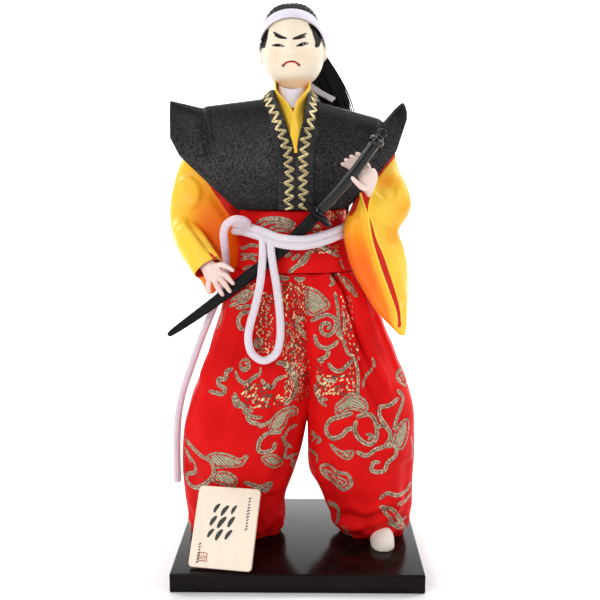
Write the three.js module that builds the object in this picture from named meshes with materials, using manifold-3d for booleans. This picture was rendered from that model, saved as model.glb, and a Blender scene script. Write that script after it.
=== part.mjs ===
// A dressed samurai doll, 30 cm tall, standing with a sheathed sword on a lacquered wood plinth.
// Millimetres, +Z up, the doll faces -Y, and the origin is the middle of the plinth's underside.
import * as THREE from "three";
import { mergeVertices } from "three/addons/utils/BufferGeometryUtils.js";
import Module from "manifold-3d";

const wasm = await Module();
wasm.setup();

// Driving dimensions.
const GAP = 0.3; // air left between pieces that touch
const AXIS_X = -3.1; // the body stands a little left of the plinth's middle
const PLINTH = { width: 130, depth: 105, height: 10, bevel: 0.8 };
const FLOOR_Z = PLINTH.height + GAP; // what stands on the plinth starts here
const WAIST = { bottom: 160, top: 191.7, halfWidth: 28.4, front: 20.6, back: 18.2, cloth: 1.6 };
const ROPE = { diameter: 4, beltHeight: 7 };
const HEAD = { x: -3.2, y: 0, z: 277.5, yaw: -2, roll: -3.2, top: 18.6 };
const HAIR = { inner: 0.35, outer: 1, brow: -10.6, temple: -4, ear: 3.4, nape: -13 };
const BAND = { inner: 1.7, outer: 2.4, width: 5.9, tilt: 45, offset: 0.5 };
const EAR = { x: 15.6, y: 1.4, z: -5.8, thick: 1.6, wide: 2.7, high: 4.4, splay: 18 };
const VEST = { cloth: 1.6, arch: 3.2 };
const COLLAR = { width: 6.8, thick: 1.1, behind: 3.1, robeBehind: 3.7 };
const UNDER_COLLAR = { width: 4.2, thick: 0.8 };
const BORDER = { width: 8.2, thick: 1.2 };
const SWORD = { gripRadius: 2.7, sheathWidth: 6, sheathThick: 4.4, guardLong: 9.3, guardDeep: 6 };
const TABLET = { x: -40.1, y: -46.4, width: 33.2, height: 42, thick: 2.4, corner: 2.2, lean: 33, turn: -10 };
const RIBBON = { width: 4.2, thick: 0.7 };

const PAINT = {
  lacquer: { color: 0x17120f, roughness: 0.25, metalness: 0 },
  redBrocade: { color: 0xd81820, roughness: 0.5, metalness: 0 },
  blackSatin: { color: 0x1c1a1b, roughness: 0.45, metalness: 0 },
  yellowSatin: { color: 0xf5a613, roughness: 0.35, metalness: 0 },
  goldTrim: { color: 0xa08a48, roughness: 0.5, metalness: 0.5 },
  whiteCloth: { color: 0xeae6f2, roughness: 0.7, metalness: 0 },
  rope: { color: 0xf0eaf2, roughness: 0.8, metalness: 0 },
  skin: { color: 0xf6e2cb, roughness: 0.5, metalness: 0 },
  hair: { color: 0x121111, roughness: 0.5, metalness: 0 },
  blackPlastic: { color: 0x141517, roughness: 0.3, metalness: 0 },
  tablet: { color: 0xf3e3cf, roughness: 0.6, metalness: 0 },
};

// Small helpers for points and smooth tables.
const vec = (x, y, z) => new THREE.Vector3(x, y, z);
const rad = THREE.MathUtils.degToRad;
const lerp = THREE.MathUtils.lerp;
const smoothstep = THREE.MathUtils.smoothstep;
const range = (n) => Array.from({ length: n }, (_, i) => i);
const around = (n) => range(n).map((j) => (j / n) * 2 * Math.PI);
const bump = (distance, width) => Math.exp(-((distance / width) ** 2));

// Reads a table of rows [t, a, b, ...] at any t, with a smooth curve through the rows.
function along(rows, t) {
  const last = rows.length - 1;
  const rising = rows[last][0] > rows[0][0];
  const k = rows.findIndex((row) => (rising ? row[0] >= t : row[0] <= t));
  if (k === -1) return rows[last].slice(1);
  if (k === 0) return rows[0].slice(1);
  const [p0, p1, p2, p3] = [Math.max(k - 2, 0), k - 1, k, Math.min(k + 1, last)].map((i) => rows[i]);
  const step = p2[0] - p1[0];
  const s = (t - p1[0]) / step;
  const [s2, s3] = [s * s, s * s * s];
  return p1.slice(1).map((_, i) => {
    const c = i + 1;
    const slope1 = ((p2[c] - p0[c]) / (p2[0] - p0[0])) * step;
    const slope2 = ((p3[c] - p1[c]) / (p3[0] - p1[0])) * step;
    const ends = (2 * s3 - 3 * s2 + 1) * p1[c] + (3 * s2 - 2 * s3) * p2[c];
    return ends + (s3 - 2 * s2 + s) * slope1 + (s3 - s2) * slope2;
  });
}

// Reads a table of rows [t, a, ...] with straight lines between the rows.
function straight(rows, t) {
  const found = rows.findIndex((row) => row[0] >= t);
  const k = found === -1 ? rows.length - 1 : Math.max(found, 1);
  const [p, q] = [rows[k - 1], rows[k]];
  const s = THREE.MathUtils.clamp((t - p[0]) / (q[0] - p[0]), 0, 1);
  return p.slice(1).map((v, i) => lerp(v, q[i + 1], s));
}

// A closed surface from points and triangles, turned the right way out.
function closedGeometry(points, index) {
  let volume = 0;
  for (let i = 0; i < index.length; i += 3) {
    const [a, b, c] = [points[index[i]], points[index[i + 1]], points[index[i + 2]]];
    volume += a.dot(b.clone().cross(c));
  }
  if (volume < 0) index.reverse();
  const geometry = new THREE.BufferGeometry().setFromPoints(points);
  geometry.setIndex(index);
  geometry.computeVertexNormals();
  return geometry;
}

// The triangles between two neighbouring rings of n points.
function bridge(index, from, to, n) {
  for (let j = 0; j < n; j++) {
    const k = (j + 1) % n;
    index.push(from + j, from + k, to + k, from + j, to + k, to + j);
  }
}

// A solid through closed rings that all have the same number of points, with flat ends.
function loft(rings) {
  const n = rings[0].length;
  const points = rings.flat();
  const index = [];
  for (let i = 0; i < rings.length - 1; i++) bridge(index, i * n, (i + 1) * n, n);
  for (const end of [0, rings.length - 1]) {
    const middle = rings[end].reduce((sum, p) => sum.add(p), vec(0, 0, 0)).divideScalar(n);
    points.push(middle);
    for (let j = 0; j < n; j++) {
      const [a, b] = [end * n + j, end * n + ((j + 1) % n)];
      index.push(...(end === 0 ? [points.length - 1, b, a] : [points.length - 1, a, b]));
    }
  }
  return closedGeometry(points, index);
}

// A solid through rings whose last ring joins the first.
function hoop(rings) {
  const n = rings[0].length;
  const index = [];
  rings.forEach((_, i) => bridge(index, i * n, ((i + 1) % rings.length) * n, n));
  return closedGeometry(rings.flat(), index);
}

// Cloth with a true thickness: an outer and an inner grid of points, joined round their four edges.
function thickSheet(outer, inner) {
  const [rows, cols] = [outer.length, outer[0].length];
  const at = (side, i, j) => side * rows * cols + i * cols + j;
  const index = [];
  const quad = (a, b, c, d) => index.push(a, b, c, a, c, d);
  for (let i = 0; i < rows - 1; i++)
    for (let j = 0; j < cols - 1; j++) {
      quad(at(0, i, j), at(0, i + 1, j), at(0, i + 1, j + 1), at(0, i, j + 1));
      quad(at(1, i, j), at(1, i, j + 1), at(1, i + 1, j + 1), at(1, i + 1, j));
    }
  for (let i = 0; i < rows - 1; i++) {
    quad(at(0, i, 0), at(1, i, 0), at(1, i + 1, 0), at(0, i + 1, 0));
    quad(at(0, i, cols - 1), at(0, i + 1, cols - 1), at(1, i + 1, cols - 1), at(1, i, cols - 1));
  }
  for (let j = 0; j < cols - 1; j++) {
    quad(at(0, 0, j), at(0, 0, j + 1), at(1, 0, j + 1), at(1, 0, j));
    quad(at(0, rows - 1, j), at(1, rows - 1, j), at(1, rows - 1, j + 1), at(0, rows - 1, j + 1));
  }
  return closedGeometry([...outer.flat(), ...inner.flat()], index);
}

// Between three.js geometry and solids that can be joined and cut.
function toSolid(geometry) {
  const bare = geometry.clone();
  bare.deleteAttribute("normal");
  bare.deleteAttribute("uv");
  const merged = mergeVertices(bare, 1e-4);
  return new wasm.Manifold(
    new wasm.Mesh({
      numProp: 3,
      vertProperties: new Float32Array(merged.attributes.position.array),
      triVerts: new Uint32Array(merged.index.array),
    }),
  );
}

function toGeometry(solid) {
  const mesh = solid.simplify(0.07).getMesh();
  const geometry = new THREE.BufferGeometry();
  geometry.setAttribute("position", new THREE.BufferAttribute(new Float32Array(mesh.vertProperties), 3));
  geometry.setIndex(new THREE.BufferAttribute(new Uint32Array(mesh.triVerts), 1));
  geometry.computeVertexNormals();
  return geometry;
}

// The largest of the bodies a cut leaves; slivers are dropped.
const mainBody = (solid) => solid.decompose().sort((a, b) => b.volume() - a.volume())[0];

const joined = (geometries) => geometries.map(toSolid).reduce((sum, solid) => sum.add(solid));

// A rounded, flattened ring at one height, from one end to the other, thick in the middle.
function flatRing(z, [xA, yA, xB, yB, thick], sides, power = 2.2) {
  const middle = vec((xA + xB) / 2, (yA + yB) / 2, z);
  const half = vec((xA - xB) / 2, (yA - yB) / 2, 0);
  const across = vec(-half.y, half.x, 0).normalize();
  return around(sides).map((a) => {
    const [c, s] = [Math.cos(a), Math.sin(a)];
    const long = Math.sign(c) * Math.abs(c) ** (2 / power);
    const short = Math.sign(s) * Math.abs(s) ** (2 / power) * thick;
    return middle.clone().addScaledVector(half, long).addScaledVector(across, short);
  });
}

// A limb along a curve; sizes are rows [t, half width, half thickness] and flat is the thin direction.
function limb(path, sizes, flat, sides, steps) {
  const curve = new THREE.CatmullRomCurve3(path);
  const stations = [0, ...range(steps - 1).map((i) => (i + 1) / steps), 1];
  return loft(
    stations.map((t) => {
      const [point, tangent] = [curve.getPoint(t), curve.getTangent(t)];
      const thin = flat.clone().addScaledVector(tangent, -flat.dot(tangent)).normalize();
      const wide = tangent.clone().cross(thin);
      const [w, h] = along(sizes, t);
      return around(sides).map((a) =>
        point.clone().addScaledVector(wide, w * Math.cos(a)).addScaledVector(thin, h * Math.sin(a)),
      );
    }),
  );
}

// A band of cloth along a path of [point, outward direction] pairs, between two heights over the path.
function band(path, width, low, high, steps) {
  const curve = new THREE.CatmullRomCurve3(path.map(([point]) => point));
  const facing = new THREE.CatmullRomCurve3(path.map(([, out]) => out));
  return loft(
    range(steps + 1).map((i) => {
      const t = i / steps;
      const tangent = curve.getTangent(t);
      const out = facing.getPoint(t);
      out.addScaledVector(tangent, -out.dot(tangent)).normalize();
      const side = tangent.clone().cross(out);
      const corner = (w, o) => curve.getPoint(t).addScaledVector(side, w * width).addScaledVector(out, o);
      return [corner(-0.5, low), corner(0.5, low), corner(0.5, high), corner(-0.5, high)];
    }),
  );
}

// The lacquered plinth, with its upper and lower edges eased.
function plinthGeometry() {
  const { width, depth, height, bevel } = PLINTH;
  const corners = [
    [-1, -1],
    [1, -1],
    [1, 1],
    [-1, 1],
  ];
  const outline = (inset, z) =>
    corners.map(([sx, sy]) => vec(sx * (width / 2 - inset), sy * (depth / 2 - inset), z));
  return loft([outline(bevel, 0), outline(0, bevel), outline(0, height - bevel), outline(bevel, height)]);
}

// Trousers: rows hold height, outer side, inner side, front and back of each leg.
const LEG_RIGHT = [
  [FLOOR_Z, -61, -9, -11, 17],
  [16, -62.6, -7.5, -14, 21],
  [24, -62.6, -7, -17, 24],
  [33, -64, -7, -20, 26],
  [48, -64.5, -2.5, -23.4, 28],
  [64, -64, 2.6, -26.5, 28.5],
  [80, -61.5, 5.6, -27.5, 28],
  [97, -56, 9.2, -26, 27],
  [115, -49.5, 11.5, -24, 25],
  [139, -41, 14.6, -21.5, 21],
  [150, -36, 16, -20.3, 18.5],
  [162, -30.6, 16, -18.6, 16.4],
];
const LEG_LEFT = [
  [FLOOR_Z, 60.5, 23, -10, 17],
  [16, 62.5, 18.5, -13.5, 21],
  [24, 63, 16.2, -18, 24],
  [33, 63.3, 12, -22, 26],
  [48, 63.8, 5.6, -26.5, 28],
  [64, 64, 5, -28, 28.5],
  [80, 63.2, 4.2, -27.5, 28],
  [97, 60, 2.4, -26, 27],
  [115, 52.5, -1, -24.5, 25],
  [139, 41, -6, -21.5, 21],
  [150, 35, -9, -20.3, 18.5],
  [162, 24.5, -13, -18.6, 16.4],
];
const PLEATS = { count: 9, depth: 0.5, top: 156, bottom: 60 };
const HEM_FOLDS = { count: 7, depth: 1.3, height: 34 };
const DEEP_PLEAT = { depth: 2.4, width: 0.075, low: 100 };
const DEEP_PLEAT_ANGLE = [
  [100, -71],
  [116, -70],
  [140, -61],
  [160, -52],
];

function legRing(rows, z, sides, pleated) {
  const [outer, inner, front, back] = along(rows, z);
  const middle = vec((outer + inner) / 2, (front + back) / 2, z);
  const [halfX, halfY] = [Math.abs(outer - inner) / 2, (back - front) / 2];
  const pleat = smoothstep(z, PLEATS.bottom, 130) * PLEATS.depth;
  const hem = (1 - smoothstep(z, FLOOR_Z, HEM_FOLDS.height)) * HEM_FOLDS.depth;
  const fold = rad(straight(DEEP_PLEAT_ANGLE, z)[0]);
  const restFold = rad(-61);
  const angles = [...range(sides).map((j) => (j / sides) * 2 * Math.PI - Math.PI)];
  if (pleated) angles.push(restFold - 0.09, restFold - 0.03, restFold + 0.03, restFold + 0.09);
  angles.sort((a, b) => a - b);
  return angles.map((rest) => {
    const a = pleated ? rest + (fold - restFold) * bump(rest - restFold, 0.9) : rest;
    const groove = pleated ? DEEP_PLEAT.depth * bump(a - fold, DEEP_PLEAT.width) : 0;
    const deep = groove * smoothstep(z, DEEP_PLEAT.low, DEEP_PLEAT.low + 35);
    const waves = pleat * Math.abs(Math.sin(PLEATS.count * a)) + deep;
    const grow = -waves - hem * (0.5 + 0.5 * Math.cos(HEM_FOLDS.count * a));
    const [c, s] = [Math.cos(a), Math.sin(a)];
    const x = Math.sign(c) * Math.abs(c) ** (2 / 2.25) * (halfX + grow);
    const y = Math.sign(s) * Math.abs(s) ** (2 / 2.25) * (halfY + grow);
    return vec(middle.x + x, middle.y + y, z);
  });
}

// The two legs end under the waistband, and a narrower waist goes up inside it.
function trousersGeometry() {
  const top = WAIST.bottom - GAP;
  const heights = [FLOOR_Z, 15, 24, 38, 54, 70, 88, 106, 122, 138, 150, top];
  const legs = joined([
    loft(heights.map((z) => legRing(LEG_RIGHT, z, 24, false))),
    loft(heights.map((z) => legRing(LEG_LEFT, z, 24, true))),
  ]);
  const waist = loft([top - 6, WAIST.top].map((z) => waistRing(z, 0.1 - WAIST.cloth - GAP, 24)));
  const shoes = joined(Object.values(FEET).map((place) => footGeometry(place, GAP)));
  return toGeometry(legs.add(toSolid(waist)).subtract(shoes));
}

// An oval round the waist at one height, grown outwards by some millimetres.
function waistRing(z, grow, sides) {
  return around(sides).map((a) => {
    const depth = Math.sin(a) < 0 ? WAIST.front : WAIST.back;
    return vec(AXIS_X + Math.cos(a) * (WAIST.halfWidth + grow), Math.sin(a) * (depth + grow), z);
  });
}

// The waistband of the trousers, wrapped round the waist and open inside.
function waistbandGeometry() {
  const sides = 24;
  const profile = [
    [WAIST.bottom, 1.2],
    [(WAIST.bottom + WAIST.top) / 2, 0.5],
    [WAIST.top, 0],
  ];
  const outside = loft(profile.map(([z, grow]) => waistRing(z, grow, sides)));
  const inside = loft([WAIST.bottom - 5, WAIST.top + 5].map((z) => waistRing(z, 0.2 - WAIST.cloth, sides)));
  return toGeometry(toSolid(outside).subtract(toSolid(inside)));
}

// The head: rows hold height from its middle, half width, front and back, from neck to crown.
const HEAD_ROWS = [
  [-38, 6.8, 3.4, 7.2],
  [-31, 7, 5.4, 7.6],
  [-24, 7.4, 6.4, 7.9],
  [-20.6, 8.2, 7.4, 8.3],
  [-18.9, 10.3, 10.3, 8.9],
  [-17.4, 12, 13.2, 9.4],
  [-14.6, 14, 15.2, 10.6],
  [-11, 15.4, 15.7, 12.6],
  [-7, 16, 15.8, 15],
  [-3, 16, 15.7, 16.8],
  [1, 15.7, 15.6, 17.4],
  [5, 15.2, 15.3, 17.4],
  [9, 14.1, 14.2, 16.4],
  [12.6, 12.2, 12.3, 14.4],
  [15.4, 9.6, 9.8, 11.6],
  [17.4, 6.2, 6.6, 7.6],
  [HEAD.top, 2, 2.2, 2.6],
];

// How far nose, brow, lips and chin stand out of the plain face.
function faceRelief(x, z) {
  return (
    1.9 * bump(x, 1.9) * bump(z + 6.4, 2.4) +
    0.9 * bump(x, 1.4) * bump(z + 2.4, 4) +
    0.4 * bump(x, 8) * bump(z - 2.8, 1.8) -
    0.4 * (bump(x - 6, 3) + bump(x + 6, 3)) * bump(z + 2.2, 1.8) +
    0.6 * bump(x, 3.6) * bump(z + 11, 1.6) +
    0.7 * bump(x, 4) * bump(z + 15.4, 2)
  );
}

// One point of the head at an angle (front is -90 degrees) and a height, grown by some millimetres.
function headPoint(a, z, grow) {
  const [half, front, back] = along(HEAD_ROWS, z > 0 ? z / (1 + grow / HEAD.top) : z);
  const [c, s] = [Math.cos(a), Math.sin(a)];
  const x = c * (half + grow);
  const relief = s < 0 ? faceRelief(x, z) * smoothstep(-s, 0.05, 0.5) : 0;
  return vec(x, s * ((s < 0 ? front + relief : back) + grow), z);
}

// Angles round the head, closer together across the face.
const headAngles = (sides) => around(sides).map((a) => a - Math.PI / 2 - 0.32 * Math.sin(a));

function headLoft(grow, sides, heights) {
  const scale = (z) => (z > 0 ? z * (1 + grow / HEAD.top) : z);
  return loft(heights.map((z) => headAngles(sides).map((a) => headPoint(a, scale(z), grow))));
}

function earSolids(grow) {
  return [-1, 1].map((side) => {
    const ear = new THREE.SphereGeometry(1, 7, 5);
    ear.scale(EAR.thick + grow, EAR.wide + grow, EAR.high + grow);
    ear.rotateZ(rad(side * -EAR.splay));
    ear.translate(side * EAR.x, EAR.y, EAR.z);
    return toSolid(ear);
  });
}

const NECK_HEIGHTS = [-38, -22, -18.6, -15.4];
const FACE_HEIGHTS = [-12.4, -10, -7.4, -5.4, -2, 4];
const CROWN_HEIGHTS = [11.6, 15.2, 17.4, HEAD.top];
const HAIR_HEIGHTS = [-10, -4, 4, ...CROWN_HEIGHTS];

function headGeometry() {
  const skull = toSolid(headLoft(0, 18, [...NECK_HEIGHTS, ...FACE_HEIGHTS, ...CROWN_HEIGHTS]));
  const behindBand = toSolid(bandHoop(GAP));
  const ears = earSolids(0).map((ear) => ear.subtract(behindBand));
  return toGeometry(ears.reduce((sum, ear) => sum.add(ear), skull));
}

// A box that reaches from far below and in front of the face up to a depth and a height.
function frontBox(depth, height) {
  const size = 80;
  const box = new THREE.BoxGeometry(size, size, size);
  box.translate(0, depth - size / 2, height - size / 2);
  return toSolid(box);
}

// Hair hugs the skull behind the temples and stops at the nape, and the ears stand free of it.
function hairGeometry() {
  const outside = toSolid(headLoft(HAIR.outer, 18, [HAIR.nape - 2, ...HAIR_HEIGHTS]));
  let shell = outside.subtract(toSolid(headLoft(HAIR.inner, 18, [-20, -15.4, ...HAIR_HEIGHTS])));
  for (const ear of earSolids(0.5)) shell = shell.subtract(ear);
  shell = shell.subtract(frontBox(HAIR.brow, 30)).subtract(frontBox(HAIR.ear, HAIR.temple));
  return toGeometry(mainBody(shell.trimByPlane([0, 0, 1], HAIR.nape)));
}

// The headband lies in a plane that is high at the brow and low at the nape.
function bandHoop(room) {
  const [s, c] = [Math.sin(rad(BAND.tilt)), Math.cos(rad(BAND.tilt))];
  const onBand = (a, edge, grow) => {
    let [low, high] = [-18, 17];
    for (let k = 0; k < 30; k++) {
      const z = (low + high) / 2;
      const p = headPoint(a, z, grow);
      if (s * p.y + c * p.z < BAND.offset + edge) low = z;
      else high = z;
    }
    return headPoint(a, low, grow);
  };
  return hoop(
    around(26).map((a) => [
      onBand(a, -BAND.width / 2 - room, BAND.inner - room),
      onBand(a, BAND.width / 2 + room, BAND.inner - room),
      onBand(a, BAND.width / 2 + room, BAND.outer + room),
      onBand(a, -BAND.width / 2 - room, BAND.outer + room),
    ]),
  );
}

// The gathered tail of hair falls from the back of the head down behind the doll's left shoulder.
const PONYTAIL = [
  [0, -1.5, 19.9, 287, 2.8, 1.1],
  [0.1, 1.5, 22, 280.4, 5.2, 2.6],
  [0.3, 10.5, 23.4, 262, 9.5, 3.8],
  [0.5, 16, 25.2, 245, 11.6, 4],
  [0.75, 19, 25.2, 218, 12, 3.9],
  [1, 19.5, 25.4, 184, 7, 2],
];

function ponytailGeometry() {
  return loft(
    range(10).map((i) => {
      const [x, y, z, wide, thick] = along(PONYTAIL, i / 9);
      const tilt = 0.35 * (1 - i / 9);
      return around(12).map((a) => {
        const across = wide * Math.cos(a);
        return vec(x + across, y + thick * Math.sin(a), z + tilt * across);
      });
    }),
  );
}

// The two ends of the headband hang from its tie at the nape.
const RIBBON_LEFT = [
  [vec(0.5, 18.6, 261.4), vec(0.2, 0.6, 0.9)],
  [vec(4.6, 18, 257.4), vec(0.2, 0.5, 0.9)],
  [vec(10.4, 15, 254), vec(0.2, 0.4, 0.9)],
  [vec(18.4, 12, 250.8), vec(0.2, 0.3, 0.9)],
];
const RIBBON_RIGHT = [
  [vec(-6.4, 18.4, 262), vec(0, 1, 0.3)],
  [vec(-8, 20.8, 255), vec(0, 1, 0.1)],
  [vec(-9.8, 21.6, 245), vec(0, 1, 0.1)],
  [vec(-11.6, 22, 230), vec(0, 1, 0.1)],
];

const ribbonGeometry = (path) => band(path, RIBBON.width, 0, RIBBON.thick, 8);

// Vest: the outline of its shoulder line and lower edge, and how far front and back stand out.
const VEST_TOP = [
  [-67, 248.5],
  [-50, 244.6],
  [-48, 245.6],
  [-18, 249.3],
  [AXIS_X, 251],
  [11, 247.6],
  [42, 239.2],
  [44.4, 237.4],
  [54.5, 247],
  [56.6, 241],
];
const VEST_BOTTOM = [
  [-67, 229],
  [-62, 219.8],
  [-31.5, 192.3],
  [25.2, 192.8],
  [35, 203.6],
  [51, 222],
  [56.6, 238.5],
];
const VEST_DEPTH = [
  [-67, 6, 8.5],
  [-50, 12.4, 14],
  [-31, 17.8, 18.2],
  [-15, 21.2, 19.6],
  [AXIS_X, 21.9, 20],
  [9, 21.2, 19.6],
  [25, 17.8, 18.2],
  [44, 12.4, 13.4],
  [56.6, 4, 5],
];
const VEST_CREASES = [
  { x: -49.6, depth: 1.3, width: 1.3 },
  { x: -45.6, depth: 0.7, width: 1.2 },
  { x: 42.4, depth: 1, width: 1.2 },
];
const VEST_STATIONS = [-67, -62, -51, -49.6, -48, -45.6, -42, -31.5, -17, AXIS_X, 11, 25.2];
const VEST_WING = [35, 40, 42.4, 44.4, 50, 54.5, 56.6];

// One point of the vest's arch over the shoulder at x; turn runs from the front hem to the back hem.
function vestPoint(x, turn, inset) {
  const top = straight(VEST_TOP, x)[0] - inset;
  const bottom = straight(VEST_BOTTOM, x)[0];
  const [front, back] = straight(VEST_DEPTH, x);
  const [c, s] = [Math.cos(turn), Math.sin(turn)];
  const z = bottom + (top - bottom) * Math.abs(s) ** (2 / VEST.arch);
  const folds = VEST_CREASES.map((fold) => fold.depth * bump(x - fold.x - 0.12 * (top - z), fold.width));
  const crease = folds.reduce((sum, depth) => sum + depth, 0) * smoothstep(z, top - 34, top - 4);
  const reach = c > 0 ? front - inset - crease : back - inset;
  return vec(x, (c > 0 ? -1 : 1) * reach * Math.abs(c) ** (2 / VEST.arch), z);
}

// How far the vest's front stands out at x and z.
function vestFront(x, z) {
  const [top, bottom] = [straight(VEST_TOP, x)[0], straight(VEST_BOTTOM, x)[0]];
  const rise = THREE.MathUtils.clamp((z - bottom) / (top - bottom), 0, 1);
  return -straight(VEST_DEPTH, x)[0] * (1 - rise ** VEST.arch) ** (1 / VEST.arch);
}

// The direction in which the vest's front faces at x and z.
function vestFacing(x, z) {
  const slope = (vestFront(x, z + 0.5) - vestFront(x, z - 0.5)) / 1;
  return vec(0, -1, slope).normalize();
}

const VEST_TURNS = range(11).map((j) => (j / 10) * Math.PI);
function vestGrid(inset) {
  return [...VEST_STATIONS, ...VEST_WING].map((x) => VEST_TURNS.map((turn) => vestPoint(x, turn, inset)));
}

const vestCloth = () => toSolid(thickSheet(vestGrid(0), vestGrid(VEST.cloth)));
const vestKeepOut = () => toSolid(thickSheet(vestGrid(-GAP - 0.1), vestGrid(VEST.cloth + GAP + 0.1)));

// The V of the neckline, cut through the vest's front, and the round hole for the neck.
function necklineCutter() {
  const outline = [
    [AXIS_X + 2, 217],
    [4.8, 250],
    [5.4, 262],
    [-12.4, 262],
    [-11.6, 250],
  ];
  const front = loft([-26, -4].map((y) => outline.map(([x, z]) => vec(x, y, z))));
  const ring = (z) => around(20).map((a) => vec(AXIS_X + 12.6 * Math.cos(a), 0.5 + 12 * Math.sin(a), z));
  return joined([front, loft([238, 262].map(ring))]);
}

// Borders down both front edges of the vest and round the neck; rows are x and z down the front.
const BORDER_FRONT_RIGHT = [
  [-14.2, 248.6],
  [-12.2, 242.4],
  [-9.3, 234],
  [-6.6, 225],
  [-5.4, 215],
  [-5.3, 204],
  [-5.3, 193.4],
];
const BORDER_FRONT_LEFT = [
  [8.4, 247],
  [7.2, 242],
  [6.3, 235],
  [4.1, 226.6],
  [3.4, 215],
  [3.3, 204],
  [3.3, 193.4],
];
const BORDER_NECK = (side) => [
  [vec(AXIS_X - side * 1, 14.6, 249.6), vec(0, 1, 0.35)],
  [vec(AXIS_X + side * 7, 13.4, 249.8), vec(side * 0.5, 0.8, 0.5)],
  [vec(AXIS_X + side * 12.8, 7.4, 250.8), vec(side * 0.7, 0.3, 1)],
  [vec(AXIS_X + side * 13.8, -1.5, 250.8), vec(side * 0.5, -0.3, 1.2)],
];

function borderSolid(side, front) {
  const chest = front.map(([x, z]) => [vec(x, vestFront(x, z), z), vestFacing(x, z)]);
  const strip = toSolid(band([...BORDER_NECK(side), ...chest], BORDER.width, -0.6, BORDER.thick, 14));
  const half = strip.trimByPlane([side, 0, 0], side * AXIS_X + GAP / 2);
  return mainBody(half.subtract(vestKeepOut()).subtract(collarSolid(GAP)));
}

// Collars: from the nape round the side of the neck, then down the chest behind the vest.
const COLLAR_NECK = (side) => [
  [vec(AXIS_X + side * 0.1, 11.4, 254.2), vec(0, 1, 0.1)],
  [vec(AXIS_X + side * 8.6, 8.4, 254.4), vec(side * 0.8, 0.6, 0.2)],
  [vec(AXIS_X + side * 10.6, 0.8, 254), vec(side, -0.05, 0.4)],
  [vec(AXIS_X + side * 9.8, -5.4, 252), vec(side * 0.8, -0.6, 0.5)],
];
const COLLAR_CHEST_RIGHT = [
  [-9.2, 247.4],
  [-5.9, 242],
  [-3.2, 234.5],
  [-1.6, 227],
  [-1.2, 218.6],
];
const COLLAR_CHEST_LEFT = [
  [4, 248],
  [1.8, 242],
  [0.4, 234.5],
  [-0.6, 227],
  [-1.2, 218.6],
];

function collarSolid(grow) {
  const halves = [
    [-1, COLLAR_CHEST_RIGHT],
    [1, COLLAR_CHEST_LEFT],
  ].map(([side, chest]) => {
    const down = chest.map(([x, z]) => [vec(x, vestFront(x, z) + COLLAR.behind, z), vec(0, -1, 0.25)]);
    const path = [...COLLAR_NECK(side), ...down];
    return band(path, COLLAR.width + 2 * grow, -grow, COLLAR.thick + grow, 12);
  });
  return joined(halves);
}

const UNDER_COLLAR_PATH = (side) => [
  [vec(AXIS_X + side * 0.1, 9, 255.4), vec(0, 1, 0.1)],
  [vec(AXIS_X + side * 6.8, 6.3, 255.6), vec(side * 0.8, 0.6, 0.1)],
  [vec(AXIS_X + side * 8.5, 0, 255.2), vec(side, -0.1, 0.3)],
  [vec(AXIS_X + side * 7, -5.2, 253), vec(side * 0.7, -0.7, 0.5)],
  [vec(AXIS_X + side * 3.6, -8.2, 249.6), vec(side * 0.2, -1, 0.5)],
  [vec(AXIS_X + side * 0.5, -9.6, 245.4), vec(0, -1, 0.4)],
];

function underCollarSolid() {
  const { width, thick } = UNDER_COLLAR;
  return joined([-1, 1].map((side) => band(UNDER_COLLAR_PATH(side), width, 0, thick, 9)));
}

// The robe's body fills the vest behind the collars, up to the neck.
const ROBE = { stations: [-30.5, -24, -17, -10, AXIS_X, 4, 11, 18, 24.2], top: 245 };

function robeSolid() {
  const arches = ROBE.stations.map((x) => VEST_TURNS.map((turn) => vestPoint(x, turn, COLLAR.robeBehind)));
  return toSolid(loft(arches)).trimByPlane([0, 0, -1], -ROBE.top);
}

// Sleeves: rows hold height, outer end x y, inner end x y and half thickness of the hanging bag.
const SLEEVE_RIGHT = [
  [228, -56, 3, -46, 1, 3],
  [215, -63.5, 3, -42, 3, 6.4],
  [205, -66.8, 3, -38, 4, 7.6],
  [195, -68.8, 2, -34, 6, 8],
  [184, -69, 2, -32, 7.5, 7.6],
  [174, -67, 2, -31.6, 8, 7],
  [165, -62.5, 1, -31.8, 8, 6],
  [159, -58, 1, -32.8, 7, 5.4],
  [152, -52.4, 1, -39, 4, 3.8],
  [145.6, -49.6, 1, -46.8, 2, 1],
];
const SLEEVE_LEFT = [
  [228, 50, 2, 41, -1, 2.6],
  [218, 51.5, 2, 37.5, -3, 5],
  [212, 53, 1, 35.5, -6, 6.2],
  [206, 55.9, 0, 32, -10, 7.6],
  [195, 58.4, -2, 28.6, -16, 9],
  [188, 57, -3, 25.4, -18.5, 9],
  [181, 52.2, -5, 24.2, -19.5, 8.4],
  [173, 55, -5, 25.2, -20, 8],
  [162, 57.3, -6, 28.4, -19.5, 7.5],
  [150, 57.6, -7, 34.6, -18, 6.5],
  [140, 57.5, -8.5, 40.8, -17, 5],
  [132, 57.4, -10, 48, -15, 3.5],
  [125.5, 57, -11, 54, -12.5, 1.2],
];

function bagGeometry(rows, steps) {
  const [top, bottom] = [rows[0][0], rows.at(-1)[0]];
  return loft(
    range(steps + 1).map((i) => {
      const z = lerp(top, bottom, i / steps);
      return flatRing(z, along(rows, z), 12);
    }),
  );
}

// The forearm's part of the right sleeve: rows hold the share of its length, half width, half depth.
const FOREARM = { elbow: vec(-61, -4, 181.5), cuff: vec(-46.8, -19.6, 162.4), across: vec(0.8, 0.1, 0.6) };
const FOREARM_SIZES = [
  [0, 2.6, 2],
  [0.16, 6.4, 5],
  [0.45, 8, 6.4],
  [1, 8.1, 6],
];
const WRIST_LEFT = { inside: vec(39.5, -17, 192), cuff: vec(35.6, -25.6, 199.6) };

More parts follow.
